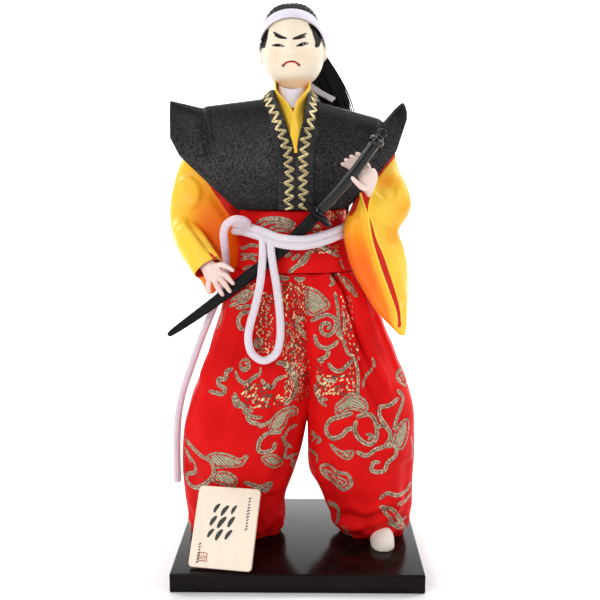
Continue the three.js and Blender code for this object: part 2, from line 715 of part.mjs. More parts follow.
function sleeveRightSolid() {
  const { elbow, cuff, across } = FOREARM;
  const axis = cuff.clone().sub(elbow).normalize();
  const start = elbow.clone().addScaledVector(axis, -7);
  const deep = axis.clone().cross(across).normalize();
  const forearm = limb([start, elbow, cuff], FOREARM_SIZES, deep, 10, 5);
  const mouth = [cuff.clone().addScaledVector(axis, -7), cuff, cuff.clone().addScaledVector(axis, 6)];
  const opening = limb(mouth, [[0, 5.4, 4.4], [1, 7.4, 5]], deep, 10, 3);
  return joined([bagGeometry(SLEEVE_RIGHT, 10), forearm]).subtract(toSolid(opening));
}

// The long open end of the left sleeve is a slit down its front: height, middle, half width, depth.
const SLIT = [
  [127, 55, 0.8, -9.5],
  [142, 51.5, 1.8, -12],
  [154, 48.2, 2.4, -14],
  [167, 44.4, 2.8, -16],
  [179, 40.6, 2.6, -17],
  [189, 37.2, 1.6, -18],
  [200, 35.4, 3.6, -16],
];

function sleeveLeftSolid() {
  const slit = loft(
    range(7).map((i) => {
      const z = lerp(SLIT[0][0], SLIT.at(-1)[0], i / 6);
      const [x, wide, back] = along(SLIT, z);
      return [vec(x - wide, -40, z), vec(x + wide, -40, z), vec(x + 0.4, back, z), vec(x - 0.4, back, z)];
    }),
  );
  const { inside, cuff } = WRIST_LEFT;
  const wrist = [inside, cuff, cuff.clone().add(vec(-2, -6, 4))];
  const opening = limb(wrist, [[0, 5, 5], [1, 6, 6]], vec(0, -1, 0), 10, 3);
  return toSolid(bagGeometry(SLEEVE_LEFT, 12)).subtract(toSolid(slit)).subtract(toSolid(opening));
}

// The sword: a gently curved line from the tip of the sheath to the pommel.
const SWORD_LINE = [
  [-63.6, 130.2],
  [-50.4, 139.3],
  [-31.8, 153.4],
  [-9.9, 171],
  [9.6, 190.6],
  [25.5, 208.6],
  [38.6, 226.2],
];
const swordDepth = (x) => -24.5 - 0.27 * (x + 8);
const swordCurve = new THREE.CatmullRomCurve3(SWORD_LINE.map(([x, z]) => vec(x, swordDepth(x), z)));
const GUARD_AT = 0.685; // share of the sword's length, counted from the sheath's tip
const SHEATH_TAPER = [
  [0, 0.2],
  [0.05, 0.46],
  [0.3, 0.8],
  [0.6, 1],
  [1, 0.98],
];

function swordRing(t, wide, thick, sides = 8) {
  const [point, axis] = [swordCurve.getPointAt(t), swordCurve.getTangentAt(t)];
  const deep = vec(0, -1, 0).addScaledVector(axis, axis.y).normalize();
  const side = axis.clone().cross(deep).normalize();
  return around(sides).map((a) =>
    point.clone().addScaledVector(side, wide * Math.cos(a)).addScaledVector(deep, thick * Math.sin(a)),
  );
}

function sheathGeometry() {
  const rings = range(11).map((i) => {
    const s = (i / 10) ** 1.3;
    const taper = along(SHEATH_TAPER, s)[0];
    const thick = (Math.max(taper, 0.34) * SWORD.sheathThick) / 2;
    return swordRing(s * (GUARD_AT - 0.008), (taper * SWORD.sheathWidth) / 2, thick);
  });
  return loft(rings);
}

// Grip, guard, pommel cap and the small ring on it are one moulding.
function hiltGeometry() {
  const { gripRadius, guardLong, guardDeep } = SWORD;
  const turned = (rows, sides) => loft(rows.map(([t, wide, thick]) => swordRing(t, wide, thick, sides)));
  const grip = turned(range(5).map((i) => [lerp(GUARD_AT, 0.999, i / 4), gripRadius, gripRadius * 0.85]), 8);
  const collar = turned([[GUARD_AT, 3.6, 3], [GUARD_AT + 0.018, 3.4, 2.9]], 8);
  const guard = turned(
    [
      [GUARD_AT - 0.004, guardLong * 0.94, guardDeep * 0.94],
      [GUARD_AT, guardLong, guardDeep],
      [GUARD_AT + 0.004, guardLong, guardDeep],
      [GUARD_AT + 0.008, guardLong * 0.94, guardDeep * 0.94],
    ],
    12,
  );
  const cap = turned([[0.962, 3, 2.8], [0.972, 3.7, 3.3], [0.98, 3.3, 3]], 8);
  const end = swordCurve.getPointAt(1);
  const ring = new THREE.TorusGeometry(1.75, 0.55, 4, 8);
  ring.rotateX(Math.PI / 2);
  ring.translate(end.x + 0.8, end.y, end.z + 1);
  return toGeometry(joined([grip, collar, guard, cap, ring]));
}

// Hands: a flat palm from the wrist, and fingers with two bends each.
const FINGER_SIZES = [
  [0, 1.5, 1.5],
  [0.6, 1.35, 1.3],
  [0.9, 1.05, 1],
  [1, 0.5, 0.45],
];
const HAND_RIGHT = {
  palm: [vec(-50.2, -16.1, 166.5), vec(-45.6, -20.8, 162.4), vec(-42, -22.8, 157.2)],
  sizes: [[0, 3.4, 2.8], [0.5, 4.2, 3], [0.85, 5, 2.4], [1, 4.2, 1.8]],
  flat: vec(0, -1, 0.2),
  fingers: [
    [vec(-43.4, -21.4, 163.8), vec(-39, -23, 164.4), vec(-35.6, -23.4, 163), vec(-32.8, -22.6, 161)],
    [vec(-41, -22.6, 159.8), vec(-37.6, -23.8, 159.4), vec(-35.2, -24, 157), vec(-32.8, -22.6, 154)],
    [vec(-42, -22.6, 158.2), vec(-39.8, -24, 157), vec(-37.2, -24.2, 154), vec(-34.6, -22.6, 149.8)],
    [vec(-43.4, -22.6, 157.6), vec(-42.2, -24, 154.8), vec(-40.4, -24, 151.6), vec(-38.6, -21.8, 148)],
    [vec(-45.4, -22, 158.4), vec(-46, -23.4, 155.2), vec(-46, -23, 152.4), vec(-45.4, -21, 149.2)],
  ],
};
const HAND_LEFT = {
  palm: [vec(38.4, -19.4, 194.2), vec(35.8, -25.8, 201), vec(35.2, -29.6, 207.6), vec(34.2, -30, 213)],
  sizes: [[0, 3.2, 2.8], [0.35, 3.8, 2.8], [0.7, 5.2, 2.4], [1, 4, 1.8]],
  flat: vec(0.2, -1, 0.3),
  fingers: [
    [vec(34.8, -28.4, 204.2), vec(32.8, -32.8, 203.8), vec(29.6, -37, 206), vec(26.2, -38.6, 209.6)],
    [vec(35.4, -29, 213.4), vec(33, -28, 217.4), vec(30.6, -28.4, 220), vec(28.6, -29.8, 221)],
    [vec(34, -29, 212.6), vec(31, -27.6, 216), vec(28, -28, 218.6), vec(25.6, -29.4, 219.6)],
    [vec(33, -29, 211.2), vec(29.4, -27.4, 214.2), vec(26, -27.6, 216.8), vec(23, -29, 217.9)],
    [vec(32.4, -29, 209.4), vec(28.4, -27, 212.4), vec(24.6, -27.2, 214.8), vec(21.4, -28.6, 215.8)],
  ],
};

function handSolid({ palm, sizes, flat, fingers }) {
  const parts = fingers.map((path) => limb(path, FINGER_SIZES, flat, 5, 3));
  return joined([limb(palm, sizes, flat, 8, 3), ...parts]);
}

// The white rope: a doubled belt, a loop that hangs from it in front, and one long end.
const BELT_FRONT = [
  vec(-33.6, -4.5, 182),
  vec(-28.8, -14.4, 182.4),
  vec(-19, -22.8, 180.4),
  vec(-9.6, -28.8, 177.4),
  vec(2, -30, 176.4),
  vec(13, -24.6, 178.2),
  vec(22.4, -15.4, 181),
  vec(27.2, -4.5, 182),
];

function beltGeometry(grow) {
  const reach = WAIST.halfWidth + 2.6;
  const back = range(9).map((i) => {
    const a = rad(lerp(4, 176, i / 8));
    return vec(AXIS_X + Math.cos(a) * reach, Math.sin(a) * (WAIST.back + 2.6), 182);
  });
  const curve = new THREE.CatmullRomCurve3([...BELT_FRONT, ...back], true);
  const rings = range(28).map((i) => {
    const [point, tangent] = [curve.getPointAt(i / 28), curve.getTangentAt(i / 28)];
    const out = tangent.clone().cross(vec(0, 0, 1)).normalize();
    const up = out.clone().cross(tangent).normalize();
    return around(8).map((a) => {
      const deep = (ROPE.diameter * 0.46 + grow) * Math.cos(a);
      const high = (ROPE.beltHeight / 2 + grow) * Math.sin(a);
      return point.clone().addScaledVector(out, deep).addScaledVector(up, high);
    });
  });
  return hoop(rings);
}

const LOOP_PATH = [
  vec(-20.2, -27, 173),
  vec(-20.6, -27.8, 166),
  vec(-21.4, -28, 156),
  vec(-23.4, -28.2, 143),
  vec(-25.6, -28.6, 131),
  vec(-25.9, -29.4, 124),
  vec(-23.4, -29.8, 118.2),
  vec(-17.9, -30, 115.6),
  vec(-12.2, -29.8, 118.2),
  vec(-9.4, -29.4, 124),
  vec(-9.6, -28.8, 131),
  vec(-11.6, -28.6, 143),
  vec(-14.2, -28.6, 156),
  vec(-15.6, -28.4, 166),
  vec(-15.8, -28, 172.2),
];
const END_PATH = [
  vec(-25.4, -20.6, 185.2),
  vec(-27.6, -25, 187.4),
  vec(-31.8, -27.6, 188),
  vec(-35.8, -27, 185.6),
  vec(-37.8, -24, 181),
  vec(-38, -19, 174.6),
  vec(-38, -13.4, 167),
  vec(-38.6, -9.6, 158),
  vec(-41.2, -8.6, 148.6),
  vec(-46.4, -8.2, 137),
  vec(-52.4, -8, 122.4),
  vec(-58.6, -8, 105.4),
  vec(-62.8, -8, 93),
  vec(-65.4, -8, 80),
  vec(-66.4, -8, 66),
  vec(-66.6, -8, 52),
  vec(-66.6, -8, 42.6),
];

function ropeGeometry(path, steps) {
  const radius = ROPE.diameter / 2;
  const corners = around(8).map((a) => new THREE.Vector2(radius * Math.cos(a), radius * Math.sin(a)));
  const extrudePath = new THREE.CatmullRomCurve3(path);
  return new THREE.ExtrudeGeometry(new THREE.Shape(corners), { steps, extrudePath, bevelEnabled: false });
}

// The white-stockinged toes that show below the hems: share of the length, half width, height.
const FEET = { foot_right: [-37, -4], foot_left: [46, -5] };
const FOOT_LENGTH = 20;
const FOOT_ROWS = [
  [0, 2.2, 3],
  [0.1, 5, 6.4],
  [0.3, 6.8, 9.8],
  [0.6, 7.2, 11.8],
  [1, 6.8, 12.2],
];

function footGeometry([x, y], grow) {
  return loft(
    range(5).map((i) => {
      const share = (i / 4) ** 1.4;
      const [half, high] = along(FOOT_ROWS, share);
      const place = y - grow + (FOOT_LENGTH + 2 * grow) * (share - 1) + 2 * grow;
      return range(9).map((j) => {
        const a = (j / 8) * Math.PI;
        const rise = (high + 2.4 * grow) * Math.sin(a) ** 0.8;
        return vec(x - (half + grow) * Math.cos(a), place, FLOOR_Z - grow + rise);
      });
    }),
  );
}

// The small wooden tablet, leaning on the leg.
function tabletGeometry() {
  const { width, height, thick, corner } = TABLET;
  const [left, right] = [-width / 2 + corner, width / 2 - corner];
  const outline = new THREE.Shape();
  outline.absarc(right, corner, corner, -Math.PI / 2, 0);
  outline.absarc(right, height - corner, corner, 0, Math.PI / 2);
  outline.absarc(left, height - corner, corner, Math.PI / 2, Math.PI);
  outline.absarc(left, corner, corner, Math.PI, 1.5 * Math.PI);
  const slab = new THREE.ExtrudeGeometry(outline, { depth: thick, bevelEnabled: false, curveSegments: 2 });
  slab.rotateX(Math.PI / 2);
  return slab;
}

// Assembly.
const doll = new THREE.Group();
const mesh = (name, geometry, paint, parent = doll) => {
  const made = new THREE.Mesh(geometry, new THREE.MeshStandardMaterial(PAINT[paint]));
  made.name = name;
  parent.add(made);
  return made;
};

mesh("plinth", plinthGeometry(), "lacquer");
mesh("waistband", waistbandGeometry(), "redBrocade");

const head = new THREE.Group();
head.position.set(HEAD.x, HEAD.y, HEAD.z);
head.rotation.set(0, rad(HEAD.roll), rad(HEAD.yaw), "ZYX");
doll.add(head);
head.updateMatrixWorld(true);
mesh("head", headGeometry(), "skin", head);
mesh("hair", hairGeometry(), "hair", head);
mesh("headband", bandHoop(0), "whiteCloth", head);
mesh("ponytail", ponytailGeometry(), "hair");
mesh("headband_tail_left", ribbonGeometry(RIBBON_LEFT), "whiteCloth");
mesh("headband_tail_right", ribbonGeometry(RIBBON_RIGHT), "whiteCloth");

const neckRoom = headLoft(GAP + 0.35, 12, [-40, ...NECK_HEIGHTS, -12.4]);
const neck = toSolid(neckRoom.applyMatrix4(head.matrixWorld));
mesh("robe_body", toGeometry(mainBody(robeSolid().subtract(neck))), "yellowSatin");
mesh("robe_collar", toGeometry(mainBody(collarSolid(0).subtract(neck))), "yellowSatin");
const underCollar = underCollarSolid().subtract(neck).subtract(collarSolid(GAP));
mesh("under_collar", toGeometry(mainBody(underCollar)), "whiteCloth");

const vest = vestCloth().subtract(necklineCutter()).subtract(collarSolid(GAP));
mesh("vest", toGeometry(mainBody(vest)), "blackSatin");
mesh("vest_border_right", toGeometry(borderSolid(-1, BORDER_FRONT_RIGHT)), "goldTrim");
mesh("vest_border_left", toGeometry(borderSolid(1, BORDER_FRONT_LEFT)), "goldTrim");

const sleeveRoom = vestKeepOut().add(toSolid(beltGeometry(GAP)));
mesh("sleeve_right", toGeometry(mainBody(sleeveRightSolid().subtract(sleeveRoom))), "yellowSatin");
mesh("sleeve_left", toGeometry(mainBody(sleeveLeftSolid().subtract(sleeveRoom))), "yellowSatin");
mesh("hand_right", toGeometry(handSolid(HAND_RIGHT)), "skin");
mesh("hand_left", toGeometry(handSolid(HAND_LEFT)), "skin");
mesh("sword_sheath", sheathGeometry(), "blackPlastic");
mesh("sword_hilt", hiltGeometry(), "blackPlastic");

mesh("rope_belt", beltGeometry(0), "rope");
mesh("rope_loop", ropeGeometry(LOOP_PATH, 21), "rope");
mesh("rope_end", ropeGeometry(END_PATH, 19), "rope");

mesh("trousers", trousersGeometry(), "redBrocade");
for (const [name, place] of Object.entries(FEET)) mesh(name, footGeometry(place, 0), "whiteCloth");

const tablet = mesh("name_tablet", tabletGeometry(), "tablet");
tablet.rotation.set(rad(-TABLET.lean), 0, rad(TABLET.turn), "ZYX");
tablet.position.set(TABLET.x, TABLET.y, FLOOR_Z);

export default doll;
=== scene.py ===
import math

import bmesh
import bpy
import numpy as np
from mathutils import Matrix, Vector
from mathutils.bvhtree import BVHTree


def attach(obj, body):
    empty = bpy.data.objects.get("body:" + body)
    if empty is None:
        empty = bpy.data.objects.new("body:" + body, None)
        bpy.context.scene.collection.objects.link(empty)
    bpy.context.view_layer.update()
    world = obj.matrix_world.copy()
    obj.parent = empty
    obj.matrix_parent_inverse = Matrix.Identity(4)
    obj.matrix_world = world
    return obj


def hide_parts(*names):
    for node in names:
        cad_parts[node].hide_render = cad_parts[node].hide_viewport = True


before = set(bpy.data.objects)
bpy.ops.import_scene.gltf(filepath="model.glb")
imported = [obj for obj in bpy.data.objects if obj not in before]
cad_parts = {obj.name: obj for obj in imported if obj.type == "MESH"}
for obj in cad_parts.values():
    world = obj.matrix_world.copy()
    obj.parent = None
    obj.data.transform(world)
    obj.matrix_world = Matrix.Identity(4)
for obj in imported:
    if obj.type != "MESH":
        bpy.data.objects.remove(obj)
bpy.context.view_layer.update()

MM = 0.001
TAU = 2 * math.pi

# Sizes of the doll, in millimetres

FLOOR_Z = 10.3
AXIS_X = -3.1
PLINTH = (130, 105, 10)
WAIST = {"bottom": 160, "top": 191.7, "half": 28.4, "front": 20.6, "back": 18.2}
HEAD_PLACE = (-3.2, 0, 277.5)
HEAD_YAW = math.radians(-2)
HEAD_ROLL = math.radians(-3.2)
HEAD_TOP = 18.6
ROPE = 4.0
BRAID_PITCH = 1.5
BRAID_STRANDS = 5
TABLET = {"x": -39.5, "y": -47.9, "width": 33.2, "height": 42, "thick": 2.4, "lean": 33, "turn": -10}


# Numbers along tables and curves


def smooth_table(rows, t):
    """Columns of a table at any t, with a smooth curve through the rows."""
    rows = np.array(rows, float)
    t = np.asarray(t, float)
    if rows[-1, 0] < rows[0, 0]:
        rows = rows[::-1]
    x, y = rows[:, 0], rows[:, 1:]
    t = np.clip(t, x[0], x[-1])
    slopes = np.zeros_like(y)
    slopes[1:-1] = (y[2:] - y[:-2]) / (x[2:] - x[:-2])[:, None]
    slopes[0] = (y[1] - y[0]) / (x[1] - x[0])
    slopes[-1] = (y[-1] - y[-2]) / (x[-1] - x[-2])
    k = np.clip(np.searchsorted(x, t, side="right") - 1, 0, len(x) - 2)
    step = (x[k + 1] - x[k])[..., None]
    s = ((t - x[k]) / (x[k + 1] - x[k]))[..., None]
    ends = (2 * s**3 - 3 * s**2 + 1) * y[k] + (3 * s**2 - 2 * s**3) * y[k + 1]
    bends = (s**3 - 2 * s**2 + s) * slopes[k] * step + (s**3 - s**2) * slopes[k + 1] * step
    return np.moveaxis(ends + bends, -1, 0)


def straight_table(rows, t):
    """Columns of a table at any t, with straight lines between the rows."""
    rows = np.array(rows, float)
    return [np.interp(t, rows[:, 0], rows[:, c]) for c in range(1, rows.shape[1])]


def columns(*parts):
    """Values side by side, one column each."""
    return np.stack(parts, axis=1)


def smoothstep(x, low, high):
    s = np.clip((np.asarray(x, float) - low) / (high - low), 0, 1)
    return s * s * (3 - 2 * s)


def bump(distance, width):
    return np.exp(-((distance / width) ** 2))


def power_cos(angle, power):
    c = np.cos(angle)
    return np.sign(c) * np.abs(c) ** (2 / power)


def power_sin(angle, power):
    s = np.sin(angle)
    return np.sign(s) * np.abs(s) ** (2 / power)


def between(t, a, b, low, high):
    """The point at t on the line that runs from a at low to b at high."""
    return ((high - t) * a + (t - low) * b) / (high - low)


def spline(points, count, closed=False):
    """Points evenly spaced along a smooth curve through the given points."""
    pts = np.array(points, float)
    if closed:
        ring = np.vstack([pts[-1:], pts, pts[:2]])
    else:
        ring = np.vstack([2 * pts[0] - pts[1], pts, 2 * pts[-1] - pts[-2]])
    fine = []
    for p0, p1, p2, p3 in zip(ring, ring[1:], ring[2:], ring[3:]):
        steps = [max(np.linalg.norm(b - a), 1e-6) ** 0.5 for a, b in ((p0, p1), (p1, p2), (p2, p3))]
        k0, k1, k2, k3 = np.cumsum([0.0, *steps])
        t = np.linspace(k1, k2, 25)[:-1, None]
        a1, a2, a3 = between(t, p0, p1, k0, k1), between(t, p1, p2, k1, k2), between(t, p2, p3, k2, k3)
        b1, b2 = between(t, a1, a2, k0, k2), between(t, a2, a3, k1, k3)
        fine.append(between(t, b1, b2, k1, k2))
    fine = np.vstack([*fine, pts[:1] if closed else pts[-1:]])
    lengths = np.concatenate([[0], np.cumsum(np.linalg.norm(np.diff(fine, axis=0), axis=1))])
    return along_path(fine, np.linspace(0, lengths[-1], count), lengths)


def unit(v):
    return v / np.maximum(np.linalg.norm(v, axis=-1, keepdims=True), 1e-9)


def along_path(values, v, steps=None):
    """Values given at steps, which are even from 0 to 1 unless given, read at v."""
    steps = np.linspace(0, 1, len(values)) if steps is None else steps
    return np.stack([np.interp(v, steps, values[:, c]) for c in range(values.shape[1])], axis=1)


def tangents(points, closed=False):
    if closed:
        return unit(np.roll(points, -1, axis=0) - np.roll(points, 1, axis=0))
    return unit(np.gradient(points, axis=0))


def path_length(points):
    return float(np.linalg.norm(np.diff(points, axis=0), axis=1).sum())


def line_distance(xz, line):
    """Distance to a broken line, share of the way along it, and on which side of it."""
    line = np.array(line, float)
    best = np.full(len(xz), 1e9)
    share = np.zeros(len(xz))
    side = np.zeros(len(xz))
    for i, (a, b) in enumerate(zip(line[:-1], line[1:])):
        along = b - a
        t = np.clip(((xz - a) @ along) / (along @ along), 0, 1)
        off = xz - a - t[:, None] * along
        d = np.linalg.norm(off, axis=1)
        near = d < best
        best[near] = d[near]
        share[near] = (i + t[near]) / (len(line) - 1)
        side[near] = np.sign(along[0] * off[near, 1] - along[1] * off[near, 0])
    return best, share, side


def fold_heights(xz, folds):
    """Height of cloth folds; each fold is a line, its width, its height and the width on its far side."""
    height = np.zeros(len(xz))
    for line, width, rise, far in folds:
        smooth = spline(line, max(6, 3 * len(line)))
        distance, share, side = line_distance(xz, smooth)
        wide = np.where(side > 0, width, far)
        height += rise * bump(distance, wide) * smoothstep(share, 0, 0.15) * smoothstep(1 - share, 0, 0.15)
    return height


# Camera at the photograph's angle

CAMERA_AT = np.array([6.8145, -480.75, 215.70])
CAMERA_YAW = math.radians(-0.7195)
CAMERA_PITCH = math.radians(8.624)
FOCAL = 897.47
VIEW = 600
SENSOR = 36
VIEW_DIR = np.array([math.sin(CAMERA_YAW), math.cos(CAMERA_YAW), -math.tan(CAMERA_PITCH)])
VIEW_DIR *= math.cos(CAMERA_PITCH)
VIEW_RIGHT = np.array([math.cos(CAMERA_YAW), -math.sin(CAMERA_YAW), 0.0])
VIEW_UP = np.cross(VIEW_RIGHT, VIEW_DIR)


def make_camera():
    data = bpy.data.cameras.new("camera")
    data.sensor_width = SENSOR
    data.lens = FOCAL / VIEW * SENSOR
    data.clip_start = 0.01
    camera = placed("camera", data)
    camera.location = CAMERA_AT * MM
    camera.rotation_mode = "QUATERNION"
    camera.rotation_quaternion = Vector(VIEW_DIR).to_track_quat("-Z", "Y")
    bpy.context.scene.camera = camera


def view_ray(px, py):
    """Direction from the camera through a pixel of the square view."""
    middle = VIEW / 2
    return unit(VIEW_DIR + VIEW_RIGHT * (px - middle) / FOCAL - VIEW_UP * (py - middle) / FOCAL)


def view_pixel(points):
    """Pixels of the square view at which points show."""
    off = points - CAMERA_AT
    depth = off @ VIEW_DIR
    right, up = FOCAL * (off @ VIEW_RIGHT) / depth, FOCAL * (off @ VIEW_UP) / depth
    return columns(VIEW / 2 + right, VIEW / 2 - up)


# Meshes


def grid(bm, nu, nv, place):
    """A grid whose points are moved to place(u, v), with u and v from 0 to 1."""
    made = bmesh.ops.create_grid(bm, x_segments=nu, y_segments=nv, size=0.5, calc_uvs=True)["verts"]
    flat = np.array([v.co for v in made])
    points = np.asarray(place(flat[:, 0] + 0.5, flat[:, 1] + 0.5)) * MM
    for vert, point in zip(made, points):
        vert.co = point


def new_bmesh():
    bm = bmesh.new()
    bm.loops.layers.uv.new("UVMap")
    return bm


def weld(bm, close=True):
    """Joins the seams of grids; close puts a cap on their open ends."""
    bmesh.ops.remove_doubles(bm, verts=bm.verts, dist=2e-6)
    rim = [e for e in bm.edges if e.is_boundary] if close else []
    if rim:
        caps = bmesh.ops.holes_fill(bm, edges=rim, sides=0)["faces"]
        bmesh.ops.poke(bm, faces=caps)
    bmesh.ops.recalc_face_normals(bm, faces=bm.faces)


def shell(nu, nv, place, close=True):
    """A new closed form from one grid that wraps round."""
    bm = new_bmesh()
    grid(bm, nu, nv, place)
    weld(bm, close)
    return bm


def walled(bm, way, thickness):
    """Gives open cloth its wall, after turning it so that its furthest face looks that way."""
    way = Vector(way)
    bmesh.ops.recalc_face_normals(bm, faces=bm.faces)
    furthest = max(bm.faces, key=lambda f: f.calc_center_median().dot(way))
    if furthest.normal.dot(way) < 0:
        bmesh.ops.reverse_faces(bm, faces=bm.faces)
    bmesh.ops.solidify(bm, geom=bm.faces[:], thickness=thickness * MM)


def placed(name, data):
    """A new object of the scene."""
    obj = bpy.data.objects.new(name, data)
    bpy.context.scene.collection.objects.link(obj)
    return obj


def piece(bm, name, materials, replaces=(), smooth=True):
    """A finished piece from a bmesh; materials is one key of MATERIALS or a tuple of them."""
    mesh = bpy.data.meshes.new(name)
    for face in bm.faces:
        face.smooth = smooth
    bm.to_mesh(mesh)
    bm.free()
    obj = placed(name, mesh)
    for key in (materials,) if isinstance(materials, str) else materials:
        mesh.materials.append(MATERIALS[key])
    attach(obj, "root")
    if replaces:
        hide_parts(*replaces)
    return obj


def remeshed(bm, voxel, smoothing):
    """The overlapping closed shapes of a bmesh as one skin."""
    mesh = bpy.data.meshes.new("lump")
    bm.to_mesh(mesh)
    bm.free()
    obj = placed("lump", mesh)
    modifier = obj.modifiers.new("one skin", "REMESH")
    modifier.mode = "VOXEL"
    modifier.voxel_size = voxel * MM
    bpy.context.view_layer.update()
    done = bpy.data.meshes.new_from_object(obj.evaluated_get(bpy.context.evaluated_depsgraph_get()))
    bpy.data.objects.remove(obj)
    out = new_bmesh()
    out.from_mesh(done)
    bpy.data.meshes.remove(done)
    axes = {"use_axis_x": True, "use_axis_y": True, "use_axis_z": True}
    for _ in range(smoothing):
        bmesh.ops.smooth_vert(out, verts=out.verts, factor=0.5, **axes)
    return out


def points_and_normals(bm):
    bm.normal_update()
    return np.array([v.co for v in bm.verts]) / MM, np.array([v.normal for v in bm.verts])


def push(bm, height_at):
    """Moves each point by height_at(points, normals) millimetres along its normal."""
    points, normals = points_and_normals(bm)
    heights = height_at(points, normals)
    for vert, offset in zip(bm.verts, normals * heights[:, None] * MM):
        vert.co += Vector(offset)


def path_frames(points, flat, closed=False):
    """Side and outward directions along a path; flat is roughly the outward one, for all or each."""
    ahead = tangents(points, closed)
    flat = np.broadcast_to(np.asarray(flat, float), points.shape)
    out = unit(flat - ahead * np.sum(flat * ahead, axis=1, keepdims=True))
    return np.cross(ahead, out), out


def swept(bm, nu, nv, path, section):
    """A grid along (points, sides, outward directions); section(angle, v) gives the two offsets."""
    points, side, out = path

    def place(u, v):
        across, outward = section(u * TAU, v)
        aside = along_path(points, v) + along_path(side, v) * across[:, None]
        return aside + along_path(out, v) * outward[:, None]

    grid(bm, nu, nv, place)


def limb(bm, path, sizes, flat, nu, nv):
    """A closed limb along a path; sizes are rows of share, half width and half thickness."""
    points = spline(path, 80)

    def section(a, v):
        wide, thick = smooth_table(sizes, v)
        return wide * np.cos(a), thick * np.sin(a)

    swept(bm, nu, nv, (points, *path_frames(points, flat)), section)


# Materials


BAND_SCALE = 0.314


class Finish:
    """A material and the nodes that give it colour, gloss and relief."""

    def __init__(self, name, color, rough, **sockets):
        self.material = bpy.data.materials.new(name)
        self.material.use_nodes = True
        self.tree = self.material.node_tree
        self.shader = self.tree.nodes["Principled BSDF"]
        self.shader.inputs["Base Color"].default_value = (*color, 1)
        self.shader.inputs["Roughness"].default_value = rough
        for key, value in sockets.items():
            self.shader.inputs[key.replace("_", " ")].default_value = value

    def fill(self, socket, value):
        """Links an output to a socket, or sets a plain value on it."""
        if isinstance(value, bpy.types.NodeSocket):
            self.tree.links.new(value, socket)
        else:
            socket.default_value = value

    def node(self, kind, inputs=None, **settings):
        made = self.tree.nodes.new(kind)
        for key, value in settings.items():
            setattr(made, key, value)
        for key, value in (inputs or {}).items():
            self.fill(made.inputs[key], value)
        return made

    def place(self, kind="Object", turn=(0, 0, 0), stretch=(1, 1, 1)):
        """Where a pattern is read: object coordinates or the piece's uv map."""
        place = self.node("ShaderNodeTexCoord").outputs[kind]
        if turn == (0, 0, 0) and stretch == (1, 1, 1):
            return place
        inputs = {"Vector": place, "Rotation": turn, "Scale": stretch}
        return self.node("ShaderNodeMapping", inputs).outputs["Vector"]

    def parts(self, place):
        return self.node("ShaderNodeSeparateXYZ", {"Vector": place}).outputs

    def noise(self, place, scale, detail, rough=0.5):
        inputs = {"Vector": place, "Scale": scale, "Detail": detail, "Roughness": rough}
        return self.node("ShaderNodeTexNoise", inputs).outputs["Fac"]

    def wave(self, place, scale, direction, distortion=0.0):
        inputs = {"Vector": place, "Scale": scale, "Distortion": distortion}
        made = self.node("ShaderNodeTexWave", inputs, wave_type="BANDS", bands_direction=direction)
        return made.outputs["Fac"]

    def math(self, operation, a, b=0.0):
        return self.node("ShaderNodeMath", {0: a, 1: b}, operation=operation).outputs[0]

    def times(self, a, b):
        return self.math("MULTIPLY", a, b)

    def ramp(self, value, stops):
        made = self.node("ShaderNodeValToRGB", {"Fac": value})
        elements = made.color_ramp.elements
        while len(elements) < len(stops):
            elements.new(0.5)
        for element, (place, color) in zip(elements, stops):
            element.position = place
            element.color = (*color, 1)
        return made.outputs["Color"]

    def span(self, value, low, high):
        """A value from 0 to 1 as a value from low to high."""
        inputs = {"Value": value, "To Min": low, "To Max": high}
        return self.node("ShaderNodeMapRange", inputs).outputs["Result"]

    def mixed(self, share, a, b):
        """From colour a, an output, to the plain colour b."""
        made = self.node("ShaderNodeMix", {"Factor": share}, data_type="RGBA")
        self.fill(made.inputs[6], a)
        self.fill(made.inputs[7], (*b, 1))
        return made.outputs[2]

    def to_shader(self, socket, value):
        self.tree.links.new(value, self.shader.inputs[socket])

    def color_by(self, value, stops):
        self.to_shader("Base Color", self.ramp(value, stops))

    def rough_by(self, value, low, high):
        self.to_shader("Roughness", self.span(value, low, high))

    def raise_by(self, height, depth):
        bump = self.node("ShaderNodeBump", {"Height": height, "Distance": depth * MM})
        self.to_shader("Normal", bump.outputs["Normal"])

    def weave(self, place, period):
        """A fine over and under weave, from 0 to 1."""
        scale = BAND_SCALE / (period * MM)
        return self.times(self.wave(place, scale, "DIAGONAL"), self.wave(place, scale, "Z"))


def satin(name, bright, deep, rough, period, depth, mottling, sheen=0.2, gloss=0.2):
    """Glossy cloth with a fine weave and soft changes of colour."""
    f = Finish(name, bright, rough, Sheen_Weight=sheen, Sheen_Roughness=0.4, Specular_IOR_Level=gloss)
    place = f.place()
    cloud = f.noise(place, mottling, 3)
    f.color_by(cloud, [(0.3, deep), (0.7, bright)])
    threads = f.weave(place, period)
    f.rough_by(threads, rough + 0.08, rough - 0.06)
    f.raise_by(threads, depth)
    return f.material


def yellow_satin():
    """Satin whose colour is painted deeper orange, as painted shade, where its shade attribute says."""
    f = Finish("yellow satin", (0.95, 0.5, 0.02), 0.34, Sheen_Weight=0.08, Specular_IOR_Level=0.35)
    place = f.place()
    # The attribute read here is painted shade: it deepens the yellow towards orange; the cloud adds a
    # random tone.
    painted_shade = f.node("ShaderNodeAttribute", attribute_name="painted_shade").outputs["Fac"]
    cloud = f.noise(place, 70, 2)
    share = f.math("ADD", painted_shade, f.span(cloud, -0.12, 0.12))
    stops = [(0.0, (1.0, 0.66, 0.05)), (0.4, (1.0, 0.44, 0.008))]
    stops += [(0.75, (1.0, 0.25, 0.001)), (1.0, (1.0, 0.155, 0.001))]
    f.color_by(share, stops)
    threads = f.weave(place, 0.5)
    f.rough_by(threads, 0.42, 0.28)
    f.raise_by(threads, 0.02)
    return f.material


